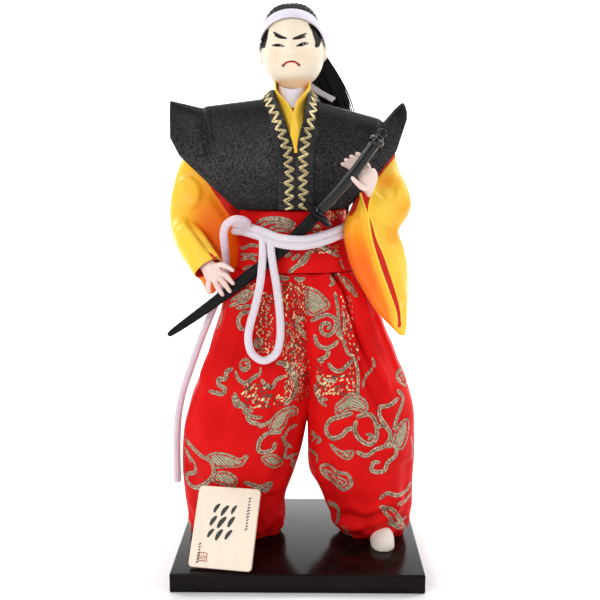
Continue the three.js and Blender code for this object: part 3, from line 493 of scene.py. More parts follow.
def vest_black():
    """Black satin with a fine grey speckle in its weave, made stronger at the height of the chest as a
    painted sheen.
    """
    f = Finish("vest black", (0.02, 0.017, 0.019), 0.45, Specular_IOR_Level=0.12)
    place = f.place()
    height = f.parts(place)["Z"]
    # Painted sheen: the speckle is strongest in a band at the height of the chest.
    off = f.math("ABSOLUTE", f.math("SUBTRACT", height, 0.217))
    middle = f.math("SUBTRACT", 1.25, f.times(off, 38))
    grain = f.noise(place, 1000, 3, 0.8)
    cloud = f.noise(place, 30, 3)
    sheen_amount = f.times(cloud, f.math("MAXIMUM", middle, 0.12))
    speck = f.times(f.ramp(grain, [(0.42, (0, 0, 0)), (0.68, (1, 1, 1))]), sheen_amount)
    stops = [(0.0, (0.0075, 0.0055, 0.0065)), (0.6, (0.085, 0.079, 0.085))]
    f.color_by(speck, stops)
    f.rough_by(grain, 0.6, 0.35)
    f.raise_by(grain, 0.03)
    return f.material


def ribbed_black():
    """The cross ribs of the border ribbon, which follow its length; the rib crests and their specks are
    painted lighter, a painted sheen.
    """
    f = Finish("ribbed black", (0.012, 0.011, 0.012), 0.5, Sheen_Weight=0.05, Specular_IOR_Level=0.3)
    speck = f.noise(f.place(), 900, 2)
    along = f.parts(f.place("UV"))["Y"]
    ribs = f.math("SINE", f.times(along, TAU * 72))
    # Painted sheen: the crests of the ribs are coloured lighter.
    share = f.times(f.span(ribs, 0.2, 1.0), speck)
    stops = [(0.25, (0.006, 0.006, 0.007)), (0.45, (0.02, 0.02, 0.022)), (0.75, (0.16, 0.155, 0.17))]
    f.color_by(share, stops)
    f.raise_by(share, 0.08)
    return f.material


def gold_thread():
    f = Finish("gold thread", (0.86, 0.6, 0.22), 0.34, Metallic=0.65)
    place = f.place()
    twist = f.noise(place, 900, 2)
    f.color_by(twist, [(0.3, (0.5, 0.36, 0.14)), (0.7, (1.0, 0.86, 0.5))])
    f.raise_by(twist, 0.05)
    return f.material


def silver_thread():
    """Grey gold thread in two lines, dark at the edges and between; u is millimetres along, v across."""
    f = Finish("silver thread", (0.5, 0.45, 0.33), 0.45, Metallic=0.25)
    parts = f.parts(f.place("UV"))
    across = f.math("ABSOLUTE", f.math("SUBTRACT", parts["Y"], 0.5))
    middle = f.math("LESS_THAN", across, 0.16)
    grain = f.noise(f.place(), 700, 2, 0.6)
    wobble = f.math("ADD", parts["X"], f.times(grain, 1.4))
    dashes = f.math("SINE", f.times(wobble, TAU / 1.9))
    dark = f.times(middle, f.math("GREATER_THAN", dashes, 0.1))
    bare = f.times(middle, f.math("LESS_THAN", dashes, -0.75))
    edge = f.math("GREATER_THAN", across, 0.42)
    grains = [(0.34, (0.15, 0.11, 0.07)), (0.5, (0.40, 0.33, 0.21)), (0.68, (0.70, 0.61, 0.42))]
    silver = f.ramp(grain, grains)
    color = f.mixed(dark, silver, (0.07, 0.045, 0.035))
    color = f.mixed(bare, color, (0.5, 0.02, 0.02))
    f.to_shader("Base Color", f.mixed(edge, color, (0.13, 0.035, 0.03)))
    f.raise_by(grain, 0.05)
    return f.material


def hatch_thread():
    """Filled motifs: close diagonal stitches of dull gold with dark between them."""
    f = Finish("hatch thread", (0.45, 0.38, 0.24), 0.45, Metallic=0.25)
    place = f.place()
    lines = f.wave(place, BAND_SCALE / 0.0008, "DIAGONAL", 3.5)
    grain = f.noise(place, 600, 3, 0.7)
    lit = f.times(lines, 0.4)
    share = f.math("ADD", lit, f.times(grain, 0.62))
    stops = [(0.3, (0.1, 0.05, 0.04)), (0.48, (0.32, 0.27, 0.17)), (0.72, (0.6, 0.53, 0.36))]
    f.color_by(share, stops)
    f.raise_by(lines, 0.05)
    return f.material


def dark_thread():
    f = Finish("dark thread", (0.06, 0.03, 0.02), 0.5)
    twist = f.noise(f.place(), 900, 2)
    f.color_by(twist, [(0.35, (0.03, 0.015, 0.01)), (0.7, (0.13, 0.09, 0.04))])
    f.raise_by(twist, 0.04)
    return f.material


def rope_cord(name, bright, hollow):
    """Braid with small hollows, which are painted darker as shade; u is millimetres along and v is turns
    round.
    """
    f = Finish(name, bright, 0.7, Sheen_Weight=0.12, Sheen_Roughness=0.5)
    parts = f.parts(f.place("UV"))
    along = f.times(parts["X"], TAU / BRAID_PITCH)
    round_ = f.times(parts["Y"], TAU * BRAID_STRANDS)
    one = f.math("SINE", f.math("ADD", along, round_))
    two = f.math("SINE", f.math("SUBTRACT", along, round_))
    knit = f.times(one, two)
    plain = tuple(0.95 * c for c in bright)
    # Painted shade: the hollow colour fills the braid's hollows, where the relief is low.
    stops = [(0.0, bright), (0.45, plain), (0.85, hollow)]
    f.color_by(f.times(knit, -1.0), stops)
    f.raise_by(knit, 0.12)
    return f.material


def doll_skin(name, color):
    f = Finish(name, color, 0.42, Coat_Weight=0.15, Coat_Roughness=0.3)
    place = f.place()
    cloud = f.noise(place, 120, 3)
    deep = tuple(c * k for c, k in zip(color, (0.97, 0.9, 0.88)))
    f.color_by(cloud, [(0.35, deep), (0.65, color)])
    f.raise_by(cloud, 0.03)
    return f.material


def face_paint():
    """The face's colours come from the paint attribute of its points."""
    f = Finish("face paint", (0.95, 0.85, 0.7), 0.42, Coat_Weight=0.06, Coat_Roughness=0.3)
    paint = f.node("ShaderNodeAttribute", attribute_name="paint").outputs["Color"]
    f.to_shader("Base Color", paint)
    f.to_shader("Specular IOR Level", f.span(paint, 0.08, 0.5))
    grain = f.noise(f.place(), 500, 2)
    f.raise_by(grain, 0.01)
    return f.material


def hair_black():
    """Combed black fibre, streaked along the strands by its own uv map."""
    f = Finish("hair black", (0.012, 0.011, 0.011), 0.42, Anisotropic=0.5, Specular_IOR_Level=0.14)
    strands = f.noise(f.place("UV", stretch=(190, 2.2, 1)), 1.0, 4, 0.7)
    f.color_by(strands, [(0.45, (0.0015, 0.0015, 0.0015)), (0.75, (0.020, 0.022, 0.020))])
    f.rough_by(strands, 0.6, 0.3)
    f.raise_by(strands, 0.15)
    return f.material


def sword_black():
    f = Finish("sword black", (0.003, 0.003, 0.0035), 0.1, Specular_IOR_Level=0.4, Coat_Weight=0.25)
    grain = f.noise(f.place(), 260, 3)
    f.rough_by(grain, 0.2, 0.07)
    f.raise_by(grain, 0.02)
    return f.material


def sheath_black():
    f = Finish("sheath black", (0.01, 0.011, 0.012), 0.42, Specular_IOR_Level=0.15)
    place = f.place("Object", (0, math.radians(42), 0), (1, 1, 14))
    grain = f.noise(place, 60, 3)
    f.color_by(grain, [(0.4, (0.003, 0.003, 0.0035)), (0.7, (0.009, 0.0095, 0.0105))])
    f.raise_by(grain, 0.04)
    return f.material


def lacquer():
    """Black lacquer with a faint brown depth and small waves in its coat."""
    f = Finish("lacquer", (0.008, 0.006, 0.0055), 0.16, Specular_IOR_Level=0.11)
    place = f.place(stretch=(1, 7, 1))
    grain = f.noise(place, 22, 4)
    f.color_by(grain, [(0.35, (0.004, 0.0025, 0.0025)), (0.7, (0.008, 0.005, 0.0045))])
    f.rough_by(grain, 0.12, 0.2)
    return f.material


def tablet_wood():
    """Pale smooth wood with a faint upright grain."""
    f = Finish("tablet wood", (0.93, 0.82, 0.66), 0.5)
    place = f.place(stretch=(6, 1, 1))
    grain = f.noise(place, 60, 4)
    f.color_by(grain, [(0.3, (0.84, 0.71, 0.57)), (0.7, (0.9, 0.78, 0.64))])
    f.raise_by(grain, 0.02)
    return f.material


def ink(name, color):
    f = Finish(name, color, 0.55)
    grain = f.noise(f.place(), 900, 2)
    deep = tuple(c * 0.6 for c in color)
    f.color_by(grain, [(0.3, deep), (0.6, color)])
    return f.material


MATERIALS = {
    "red": satin("red satin", (0.74, 0.007, 0.007), (0.60, 0.004, 0.005), 0.5, 0.55, 0.025, 40, 0.0, 0.06),
    "yellow": yellow_satin(),
    "lining": satin("lining red", (0.72, 0.02, 0.008), (0.6, 0.012, 0.006), 0.45, 0.5, 0.02, 60),
    "vest": vest_black(),
    "ribbed": ribbed_black(),
    "gold": gold_thread(),
    "silver": silver_thread(),
    "hatch": hatch_thread(),
    "dark": dark_thread(),
    "white": satin("white cloth", (0.80, 0.77, 0.86), (0.74, 0.69, 0.80), 0.6, 0.6, 0.03, 90, 0.15),
    "grey": satin("grey cloth", (0.60, 0.56, 0.62), (0.46, 0.43, 0.49), 0.6, 0.6, 0.03, 400, 0.1),
    "sock": satin("sock cloth", (0.84, 0.76, 0.68), (0.77, 0.69, 0.61), 0.6, 0.6, 0.03, 90, 0.1),
    "rope": rope_cord("rope cord", (0.86, 0.80, 0.86), (0.44, 0.33, 0.48)),
    "rope end": rope_cord("rope end", (0.86, 0.70, 0.79), (0.46, 0.28, 0.40)),
    "hand": doll_skin("hand skin", (0.9, 0.72, 0.66)),
    "face": face_paint(),
    "hair": hair_black(),
    "sword": sword_black(),
    "sheath": sheath_black(),
    "lacquer": lacquer(),
    "tablet": tablet_wood(),
    "ink": ink("black ink", (0.02, 0.02, 0.02)),
    "seal": ink("red ink", (0.45, 0.02, 0.02)),
}


def set_painted_shade(obj, values):
    """Writes how much painted shade deepens the satin's colour at each point."""
    attribute = obj.data.attributes.new("painted_shade", "FLOAT", "POINT")
    attribute.data.foreach_set("value", values.astype(np.float32))


def mesh_points(obj):
    co = np.zeros(len(obj.data.vertices) * 3, np.float32)
    obj.data.vertices.foreach_get("co", co)
    return co.reshape(-1, 3).astype(float) / MM


# Ropes: the hanging loop, the long end and the belt

LOOP_PATH = [
    (-17.8, -22.9, 179.4), (-17.8, -25.2, 175.6), (-17.7, -27, 171), (-18.1, -27.8, 165),
    (-19.2, -28, 155.4), (-22.2, -28.2, 142), (-24.3, -28.6, 134.6), (-25.4, -29, 127),
    (-23.4, -29.6, 119.4), (-17.5, -30, 115.8), (-11.4, -29.8, 119.2), (-9.1, -29.2, 127),
    (-8.9, -28.8, 134.6), (-9.4, -28.6, 142), (-11, -28.4, 155.4), (-12.6, -28.2, 165),
    (-13.4, -28.1, 171), (-13.7, -27.2, 175), (-13.8, -26, 178.6),
]
END_PATH = [
    (-25.4, -20.6, 185.2), (-27.6, -25, 187.4), (-31.8, -27.6, 188), (-35.8, -27, 185.6),
    (-37.8, -24, 181), (-38, -19, 174.6), (-38, -13.4, 167), (-38.6, -9.6, 158), (-41.2, -8.6, 148.6),
    (-46.4, -8.2, 137), (-52.4, -8, 122.4), (-58.6, -8, 105.4), (-62.8, -8, 93), (-65.4, -8, 80),
    (-66.4, -8, 66), (-66.6, -8, 52), (-66.6, -8, 42.6),
]
BELT_PATH = [
    (-33.6, -4.5, 182), (-28.8, -14.4, 182.4), (-19, -22.8, 180.4), (-9.6, -28.8, 177.4),
    (2, -30, 176.4), (13, -24.6, 178.2), (22.4, -15.4, 181), (27.2, -4.5, 182),
]
BELT_OFF = 2.6
BELT_TURNS = (-1.72, 1.72)
BELT_RADIUS = 1.88


def rope_tube(bm, points, radius, closed=False):
    """A cord with the small relief of a braid; its uv map has millimetres along and turns round."""
    length = path_length(points)

    def section(a, v):
        turn = v * length * TAU / BRAID_PITCH
        thick = radius + 0.07 * np.sin(turn + BRAID_STRANDS * a) * np.sin(turn - BRAID_STRANDS * a)
        if not closed:
            ends = np.minimum(v, 1 - v) * length
            thick = thick - radius * 0.35 * (1 - smoothstep(ends, 0, 0.8))
        return thick * np.cos(a), thick * np.sin(a)

    before = len(bm.faces)
    frames = path_frames(points, (0.02, -1, 0.06), closed)
    swept(bm, 28, max(30, int(length / 0.55)), (points, *frames), section)
    layer = bm.loops.layers.uv.active
    bm.faces.ensure_lookup_table()
    for face in bm.faces[before:]:
        for loop in face.loops:
            u, v = loop[layer].uv
            loop[layer].uv = (v * length, u)


def make_free_rope(name, path, material):
    """A free cord from the belt, swept along the line it lies along."""
    line = spline(path, 160)
    bm = new_bmesh()
    rope_tube(bm, line, ROPE / 2)
    weld(bm)
    piece(bm, name, material, [name])


def make_belt():
    """Two turns of cord that lie one above the other round the waist."""
    reach = WAIST["half"] + BELT_OFF
    back = []
    for i in range(9):
        a = math.radians(4 + 172 * i / 8)
        back.append((AXIS_X + math.cos(a) * reach, math.sin(a) * (WAIST["back"] + BELT_OFF), 182))
    centre = spline(BELT_PATH + back, 300, closed=True)
    bm = new_bmesh()
    for lift in BELT_TURNS:
        rope_tube(bm, centre + np.array([0, 0, lift]), BELT_RADIUS, closed=True)
    weld(bm, close=False)
    piece(bm, "rope_belt", "rope", ["rope_belt"])


# Plinth and tablet


def make_plinth():
    width, depth, height = PLINTH
    bm = new_bmesh()
    made = bmesh.ops.create_cube(bm, size=1)["verts"]
    bmesh.ops.scale(bm, vec=(width * MM, depth * MM, height * MM), verts=made)
    bmesh.ops.translate(bm, vec=(0, 0, height * MM / 2), verts=made)
    rounding = {"offset": 0.8 * MM, "segments": 4, "profile": 0.5, "affect": "EDGES", "material": -1}
    bmesh.ops.bevel(bm, geom=bm.edges[:], **rounding)
    piece(bm, "plinth_board", "lacquer", ["plinth"])


def tablet_point(across, up, out):
    """A point on the tablet's face: across from its middle, up from its lower edge, out of its face."""
    lean, turn = math.radians(TABLET["lean"]), math.radians(TABLET["turn"])
    y = -(TABLET["thick"] + out)
    y, z = y * math.cos(lean) + up * math.sin(lean), -y * math.sin(lean) + up * math.cos(lean)
    x, y = across * math.cos(turn) - y * math.sin(turn), across * math.sin(turn) + y * math.cos(turn)
    return np.array([TABLET["x"] + x, TABLET["y"] + y, FLOOR_Z + z])


def make_tablet():
    width, height, thick = TABLET["width"], TABLET["height"], TABLET["thick"]
    bm = new_bmesh()
    made = bmesh.ops.create_cube(bm, size=1)["verts"]
    bmesh.ops.scale(bm, vec=(width, thick, height), verts=made)
    bmesh.ops.translate(bm, vec=(0, -thick / 2, height / 2), verts=made)
    upright = [e for e in bm.edges if abs(e.verts[0].co.y - e.verts[1].co.y) > 1]
    bmesh.ops.bevel(bm, geom=upright, offset=2.2, segments=5, profile=0.5, affect="EDGES", material=-1)
    rims = [e for e in bm.edges if len(e.link_faces) == 2 and e.calc_face_angle() > 1.2]
    bmesh.ops.bevel(bm, geom=rims, offset=0.35, segments=2, profile=0.5, affect="EDGES", material=-1)
    for vert in bm.verts:
        x, y, z = vert.co
        vert.co = Vector(tablet_point(x, z, -y - thick)) * MM
    piece(bm, "tablet_board", "tablet", ["name_tablet"], smooth=False)


# Rows of brush marks that are no letters: across, up, length, slant in degrees, width
BRUSH_MARKS = [
    (-5.5, 30.6, 5.4, 62, 1.9), (-1, 29.6, 6.4, 58, 2.2), (3.8, 30.4, 5, 64, 1.8),
    (-6.4, 24, 5.8, 60, 2.2), (-1.8, 23.4, 7, 56, 2.5), (3.2, 24, 6.2, 62, 2.2), (-7, 17.6, 5.2, 58, 2),
    (-2.4, 17, 6.4, 62, 2.3), (2.6, 17.4, 5.8, 58, 2.0),
]
SEAL_FRAME = [
    (-9.2, 3.2, 4.4, 0, 0.45), (-9.2, 7.2, 4.4, 0, 0.45), (-11.3, 5.2, 4.2, 90, 0.45),
    (-7.1, 5.2, 4.2, 90, 0.45),
]
# Small rows: across, top, length and number of marks
SMALL_ROWS = [(11.6, 37.5, 17.5, 11), (-11.8, 12.5, 10.5, 7)]


def brush_stroke(bm, across, up, length, slant, width):
    """One flat stroke, thick in the middle and pointed at its ends."""
    c, s = math.cos(math.radians(slant)), math.sin(math.radians(slant))

    def place(u, v):
        along = (u - 0.5) * length
        wide = (v - 0.5) * width * (0.35 + 0.65 * np.sin(np.pi * np.clip(u, 0.02, 0.98)) ** 0.7)
        bow = 0.06 * length * np.sin(np.pi * u)
        x = across + along * c - (wide + bow) * s
        z = up + along * s + (wide + bow) * c
        return np.array([tablet_point(a, b, 0.07) for a, b in zip(x, z)])

    grid(bm, 10, 3, place)


def brushed(name, material, strokes):
    """Thin raised strokes on the tablet's face."""
    bm = new_bmesh()
    for stroke in strokes:
        brush_stroke(bm, *stroke)
    bmesh.ops.solidify(bm, geom=bm.faces[:], thickness=0.1 * MM)
    bmesh.ops.recalc_face_normals(bm, faces=bm.faces)
    piece(bm, name, material, smooth=False)


def make_brush_marks():
    marks = BRUSH_MARKS[:]
    for across, top, length, count in SMALL_ROWS:
        for i in range(count):
            up = top - length * (i + 0.5) / count
            marks.append((across + 0.3 * math.sin(3.1 * i), up, 1.7 + 0.4 * math.sin(5.3 * i), 35, 0.7))
    brushed("tablet_marks", "ink", marks)
    brushed("tablet_seal", "seal", SEAL_FRAME + [(-10.2 + i, 5.2, 2.4, 80, 0.4) for i in range(3)])


# Trousers: rows hold height, outer side, inner side, front and back of each leg

LEG_RIGHT = [
    (FLOOR_Z, -61, -9, -11, 17), (16, -62.6, -7.5, -14, 21), (24, -62.6, -7, -17, 24),
    (33, -64, -7, -20, 26), (48, -64.5, -2.5, -23.4, 28), (64, -64, 2.6, -26.5, 28.5),
    (80, -61.5, 5.6, -27.5, 28), (97, -56, 9.2, -26, 27), (115, -49.5, 11.5, -24, 25),
    (139, -42, 14.6, -21.5, 21), (150, -39.5, 16, -20.3, 18.5), (162, -33.4, 16, -18.6, 16.4),
]
LEG_LEFT = [
    (FLOOR_Z, 60.5, 23, -10, 17), (16, 62.5, 18.5, -13.5, 21), (24, 63, 17, -18, 24),
    (33, 63.3, 13.2, -22, 26), (42, 63.6, 9.6, -25, 27.4), (49, 63.8, 5.4, -26.5, 28),
    (64, 64, 5, -28, 28.5), (80, 63.2, 4.2, -27.5, 28), (97, 60, 2.4, -26, 27),
    (115, 52.5, -1, -24.5, 25), (139, 42.4, -6, -21.5, 21), (150, 38.4, -9, -20.3, 18.5),
    (162, 29.6, -13, -18.6, 16.4),
]
REST_FOLD = math.radians(-61)
DEEP_PLEAT_ANGLE = [(100, -61), (116, -61), (140, -64), (160, -66)]
LEG_FOLDS = [
    ([(-30, 158), (-34, 140), (-44, 118), (-54, 95)], 2.8, 1.5, 5),
    ([(-22, 156), (-27, 130), (-36, 100), (-44, 70)], 2.6, -1.3, 4),
    ([(-16, 156), (-22, 132), (-30, 104)], 2, 1.1, 3.4),
    ([(-6, 156), (-8, 130), (-14, 100), (-20, 76)], 2.6, 1.3, 4),
    ([(0, 152), (-1, 130), (-4, 108)], 1.8, -1.2, 3),
    ([(4, 100), (0, 80), (-6, 60), (-10, 40)], 3.4, -1.4, 4),
    ([(8, 158), (8, 135), (10, 110), (12, 85)], 2.4, 1.6, 4),
    ([(26, 150), (32, 130), (42, 108), (52, 84)], 2.4, 1.8, 4),
    ([(22, 150), (28, 128), (38, 104), (48, 80)], 1.8, -1.6, 3),
    ([(14, 150), (18, 126), (26, 100), (32, 76)], 2.6, -1.2, 4),
    ([(40, 140), (48, 118), (56, 98)], 2.6, -1.2, 4), ([(-60, 60), (-56, 40), (-54, 22)], 4, -1.3, 5),
    ([(-58, 100), (-60, 84), (-61, 68)], 3, 0.9, 5), ([(-40, 34), (-34, 22), (-26, 16)], 2.6, 1.4, 3),
    ([(-12, 40), (-18, 28), (-26, 20), (-32, 13)], 2.6, -1.5, 4),
    ([(-10, 26), (-16, 19), (-24, 14)], 2, 1.1, 3),
    ([(22, 24), (30, 20), (40, 24), (50, 30), (58, 40)], 2.6, 2.0, 3.6),
    ([(24, 30), (32, 25.5), (42, 29), (52, 35)], 1.8, -1.6, 3),
    ([(26, 38), (34, 32), (44, 35), (56, 44)], 2.6, 1.3, 4),
    ([(34, 15), (42, 18), (50, 17), (58, 20)], 2.2, 1.6, 3),
    ([(60, 60), (58, 42), (60, 26)], 3.4, -1.2, 4), ([(18, 60), (16, 44), (22, 30)], 3, -1.3, 4),
    ([(12, 66), (12, 50), (17, 36)], 2.2, 1.0, 3),
]


def leg_place(rows, left):
    """Points of one leg from hem to waistband, with soft pleats above and gathers at the hem."""
    low, high = FLOOR_Z, WAIST["bottom"] - 0.3

    def place(u, v):
        z = low + (high - low) * v
        outer, inner, front, back = smooth_table(rows, z)
        half_x, half_y = np.abs(outer - inner) / 2, (back - front) / 2
        rest = u * TAU - np.pi
        fold = np.radians(straight_table(DEEP_PLEAT_ANGLE, z)[0])
        a = rest + (fold - REST_FOLD) * bump(rest - REST_FOLD, 0.9) if left else rest
        slit = np.where(a < fold, 0.09 + 0.15 * (1 - smoothstep(z, 112, 148)), 0.05)
        groove = 6.8 * bump(a - fold, slit) * smoothstep(z, 86, 124) if left else 0
        pleat = 0.5 * smoothstep(z, 60, 130) * np.abs(np.sin(9 * a))
        hem = (1 - smoothstep(z, FLOOR_Z, 34)) * 1.3 * (0.5 + 0.5 * np.cos(7 * a))
        ripple = 0.35 * np.sin(13 * a + 0.35 * z) * (1 - smoothstep(z, 14, 40))
        tuck = -0.9 * bump(z - 12, 2.2)
        grow = -groove - pleat - hem + ripple + tuck
        x = (outer + inner) / 2 + power_cos(a, 2.25) * (half_x + grow)
        y = (front + back) / 2 + power_sin(a, 2.25) * (half_y + grow)
        return columns(x, y, z)

    return place


def leg_relief(points, normals):
    """Folds drawn over the front of the legs, and repeated softly on the back."""
    xz = points[:, [0, 2]]
    front = fold_heights(xz, LEG_FOLDS)
    x, z = xz.T
    soft = 0.22 * np.sin(0.33 * x + 0.17 * z + 2 * np.sin(0.06 * z))
    soft = soft + 0.16 * np.sin(0.23 * z - 0.41 * x + 1.7)
    fray = 0.35 * np.sin(2.1 * x) * np.sin(1.3 * points[:, 1] + x) * (1 - smoothstep(z, 11, 15))
    return 1.45 * front * smoothstep(np.abs(normals[:, 1]), 0.1, 0.6) + soft + fray


def make_trousers():
    bm = new_bmesh()
    grid(bm, 170, 150, leg_place(LEG_RIGHT, False))
    grid(bm, 170, 150, leg_place(LEG_LEFT, True))
    weld(bm)
    push(bm, leg_relief)
    floor = (FLOOR_Z - 0.1) * MM
    for vert in bm.verts:
        vert.co.z = max(vert.co.z, floor)
    obj = piece(bm, "trousers_cloth", "red", ["trousers"])
    return obj


def make_waistband():
    """The band round the waist, a thick strip with a rounded edge above and below."""
    low, high = WAIST["bottom"], WAIST["top"]

    def place(u, v):
        a, turn = u * TAU, v * TAU
        z = low + (high - low) * (0.5 + 0.5 * power_sin(turn, 12))
        outside = power_cos(turn, 6)
        grow = np.interp(z, [low, (low + high) / 2, high], [1.2, 0.5, 0]) - 0.8 + 0.8 * outside
        grow = grow + 0.22 * np.sin(5 * a + 0.1 * z) * (outside > 0)
        grow = grow + 4.6 * np.maximum(np.cos(a), 0) ** 1.2 * (1 - smoothstep(z, 161, 180))
        depth = np.where(np.sin(a) < 0, WAIST["front"], WAIST["back"])
        x = AXIS_X + np.cos(a) * (WAIST["half"] + grow)
        return columns(x, np.sin(a) * (depth + grow), z)

    return piece(shell(160, 96, place, False), "waistband_cloth", "red", ["waistband"])


# Head: rows hold height, half width, front and back

HEAD_ROWS = [
    (-38, 6.8, 3.4, 7.2), (-31, 7, 5.4, 7.6), (-24, 7.4, 6.4, 7.9), (-20.6, 8.6, 9.4, 8.3),
    (-18.9, 10.8, 12.6, 8.9), (-17.4, 12.2, 14.3, 9.4), (-14.6, 14, 15.2, 10.6),
    (-11, 15.4, 15.7, 12.6), (-7, 16, 15.8, 15), (-3, 16, 15.7, 16.8), (1, 15.7, 15.6, 17.4),
    (5, 15.2, 15.3, 17.4), (9, 14.1, 14.2, 16.4), (12.6, 12.2, 12.3, 14.4), (15.4, 9.6, 9.8, 11.6),
    (17.4, 6.2, 6.6, 7.6), (HEAD_TOP, 0.02, 0.02, 0.02),
]


def face_relief(x, z):
    """How far nose, brow, lips and chin stand out of the plain face."""
    return (
        1.5 * bump(x, 1.7) * bump(z + 6.8, 2.2)
        + 0.7 * bump(x, 1.3) * bump(z + 2.8, 4)
        + 0.3 * bump(x, 8) * bump(z - 2.8, 1.8)
        - 0.35 * (bump(x - 5.4, 3) + bump(x + 5.4, 3)) * bump(z + 2.4, 1.7)
        + 0.45 * bump(x, 3.4) * bump(z + 11, 1.6)
        + 0.6 * bump(x, 4) * bump(z + 15.4, 2)
    )


def head_point(a, z, grow=0.0, relief=True):
    """Points of the head in its own frame at an angle (front is -90 degrees) and a height."""
    half, front, back = smooth_table(HEAD_ROWS, np.where(z > 0, z / (1 + grow / HEAD_TOP), z))
    c, s = np.cos(a), np.sin(a)
    x = c * (half + grow)
    out = face_relief(x, z) * smoothstep(-s, 0.05, 0.5) * (s < 0) if relief else 0
    y = s * (np.where(s < 0, front, back) + out + grow)
    return columns(x, y, z)


def head_to_doll(points):
    """From the head's own frame to the doll's, turned and tilted."""
    x, y, z = points.T
    c, s = math.cos(HEAD_ROLL), math.sin(HEAD_ROLL)
    x, z = x * c + z * s, -x * s + z * c
    x, y = x * math.cos(HEAD_YAW) - y * math.sin(HEAD_YAW), x * math.sin(HEAD_YAW) + y * math.cos(HEAD_YAW)
    return columns(x + HEAD_PLACE[0], y + HEAD_PLACE[1], z + HEAD_PLACE[2])


def make_ear(bm, side):
    """A small curled ear: an oval with a hollow and a rolled rim."""

    def place(u, v):
        a, b = u * TAU, (v - 0.5) * np.pi * 0.9999
        y, z = np.cos(b) * np.cos(a), np.sin(b)
        x = np.cos(b) * np.sin(a)
        hollow = 0.55 * bump(np.hypot(y + 0.05, z - 0.1), 0.55) * (x * side > 0)
        x = 1.9 * x - side * hollow * 1.1
        p = columns(x, 2.9 * y, 4.3 * z)
        t = math.radians(-18 * side)
        px = p[:, 0] * math.cos(t) - p[:, 1] * math.sin(t)
        py = p[:, 0] * math.sin(t) + p[:, 1] * math.cos(t)
        return head_to_doll(columns(px + side * 15.9, py + 0.8, p[:, 2] - 5.4))

    grid(bm, 28, 20, place)


def brush(pixels, line, widths):
    """How much a painted line covers each pixel place; widths are in pixels along it."""
    smooth = spline(line, 24)
    distance, share, _ = line_distance(pixels, smooth)
    wide = np.interp(share, np.linspace(0, 1, len(widths)), widths) / 2
    return 1 - smoothstep(distance, wide - 0.25, wide + 0.35)


def head_pixel(x, y):
    """A place on the painted face, from the drawing of it, as a pixel of the view."""
    return (245 + x / 14.25, y / 14.25)


CREAM = (0.93, 0.81, 0.635)
PEACH = (0.93, 0.62, 0.42)
UNDER_CHIN_SHADE = (0.88, 0.44, 0.16)
INK = (0.008, 0.007, 0.007)
LIP = (0.40, 0.003, 0.008)
GLINT = (0.9, 0.86, 0.8)
# Peach on the face: blush on the cheeks, painted shade beside the nose and a spot on the chin; drawn spot,
# width and strength.
BLUSH_AND_NOSE_SHADE = [
    ((415, 800), 7.5, 0.38), ((865, 800), 7.5, 0.38), ((560, 815), 3.2, 0.22), ((760, 815), 3.2, 0.22),
    ((660, 985), 5, 0.22),
]
MOUTH = ([(540, 938), (595, 890), (660, 876), (712, 882), (774, 928)], [2.1, 1.8, 2.0, 1.8, 2.0])
MOUTH_CORNERS = [((545, 934), 1.5), ((768, 924), 1.3)]
BROWS = [
    ([(418, 466), (500, 518), (588, 545)], [2.2, 3.2, 1.5]),
    ([(434, 506), (500, 536), (580, 548)], [2.0, 2.0, 1.2]),
    ([(690, 550), (770, 522), (866, 480)], [1.9, 2.8, 1.6]),
    ([(702, 556), (770, 545), (856, 520)], [1.4, 2.0, 1.5]),
]
EYES = [
    ([(388, 649), (440, 645), (500, 648), (550, 660)], [1.1, 2.7, 2.6, 1.4]),
    ([(392, 650), (440, 632), (500, 636), (548, 654)], [0.8, 1.2, 1.2, 0.8]),
    ([(740, 656), (790, 642), (850, 627), (894, 622)], [1.3, 2.9, 2.6, 1.3]),
    ([(742, 650), (790, 625), (850, 608), (894, 614)], [0.8, 1.3, 1.3, 0.8]),
]
IRISES = [((462, 648), 1.5), ((806, 636), 1.7)]
GLINTS = [((518, 654), 0.5), ((870, 622), 0.55), ((832, 627), 0.5)]
SIDEBURNS = [
    ([(328, 425), (308, 470), (296, 520), (272, 600), (259, 655)], [1.8, 3.2, 4.4, 4.8, 4.8]),
    ([(915, 345), (968, 400), (1002, 450), (1024, 500), (1037, 550), (1040, 600), (1034, 640)], [1.6,
        4.2, 5.8, 7.4, 7.4, 6.4, 4.6]), ([(1010, 640), (1013, 676)], [2.4, 1.2]),
]


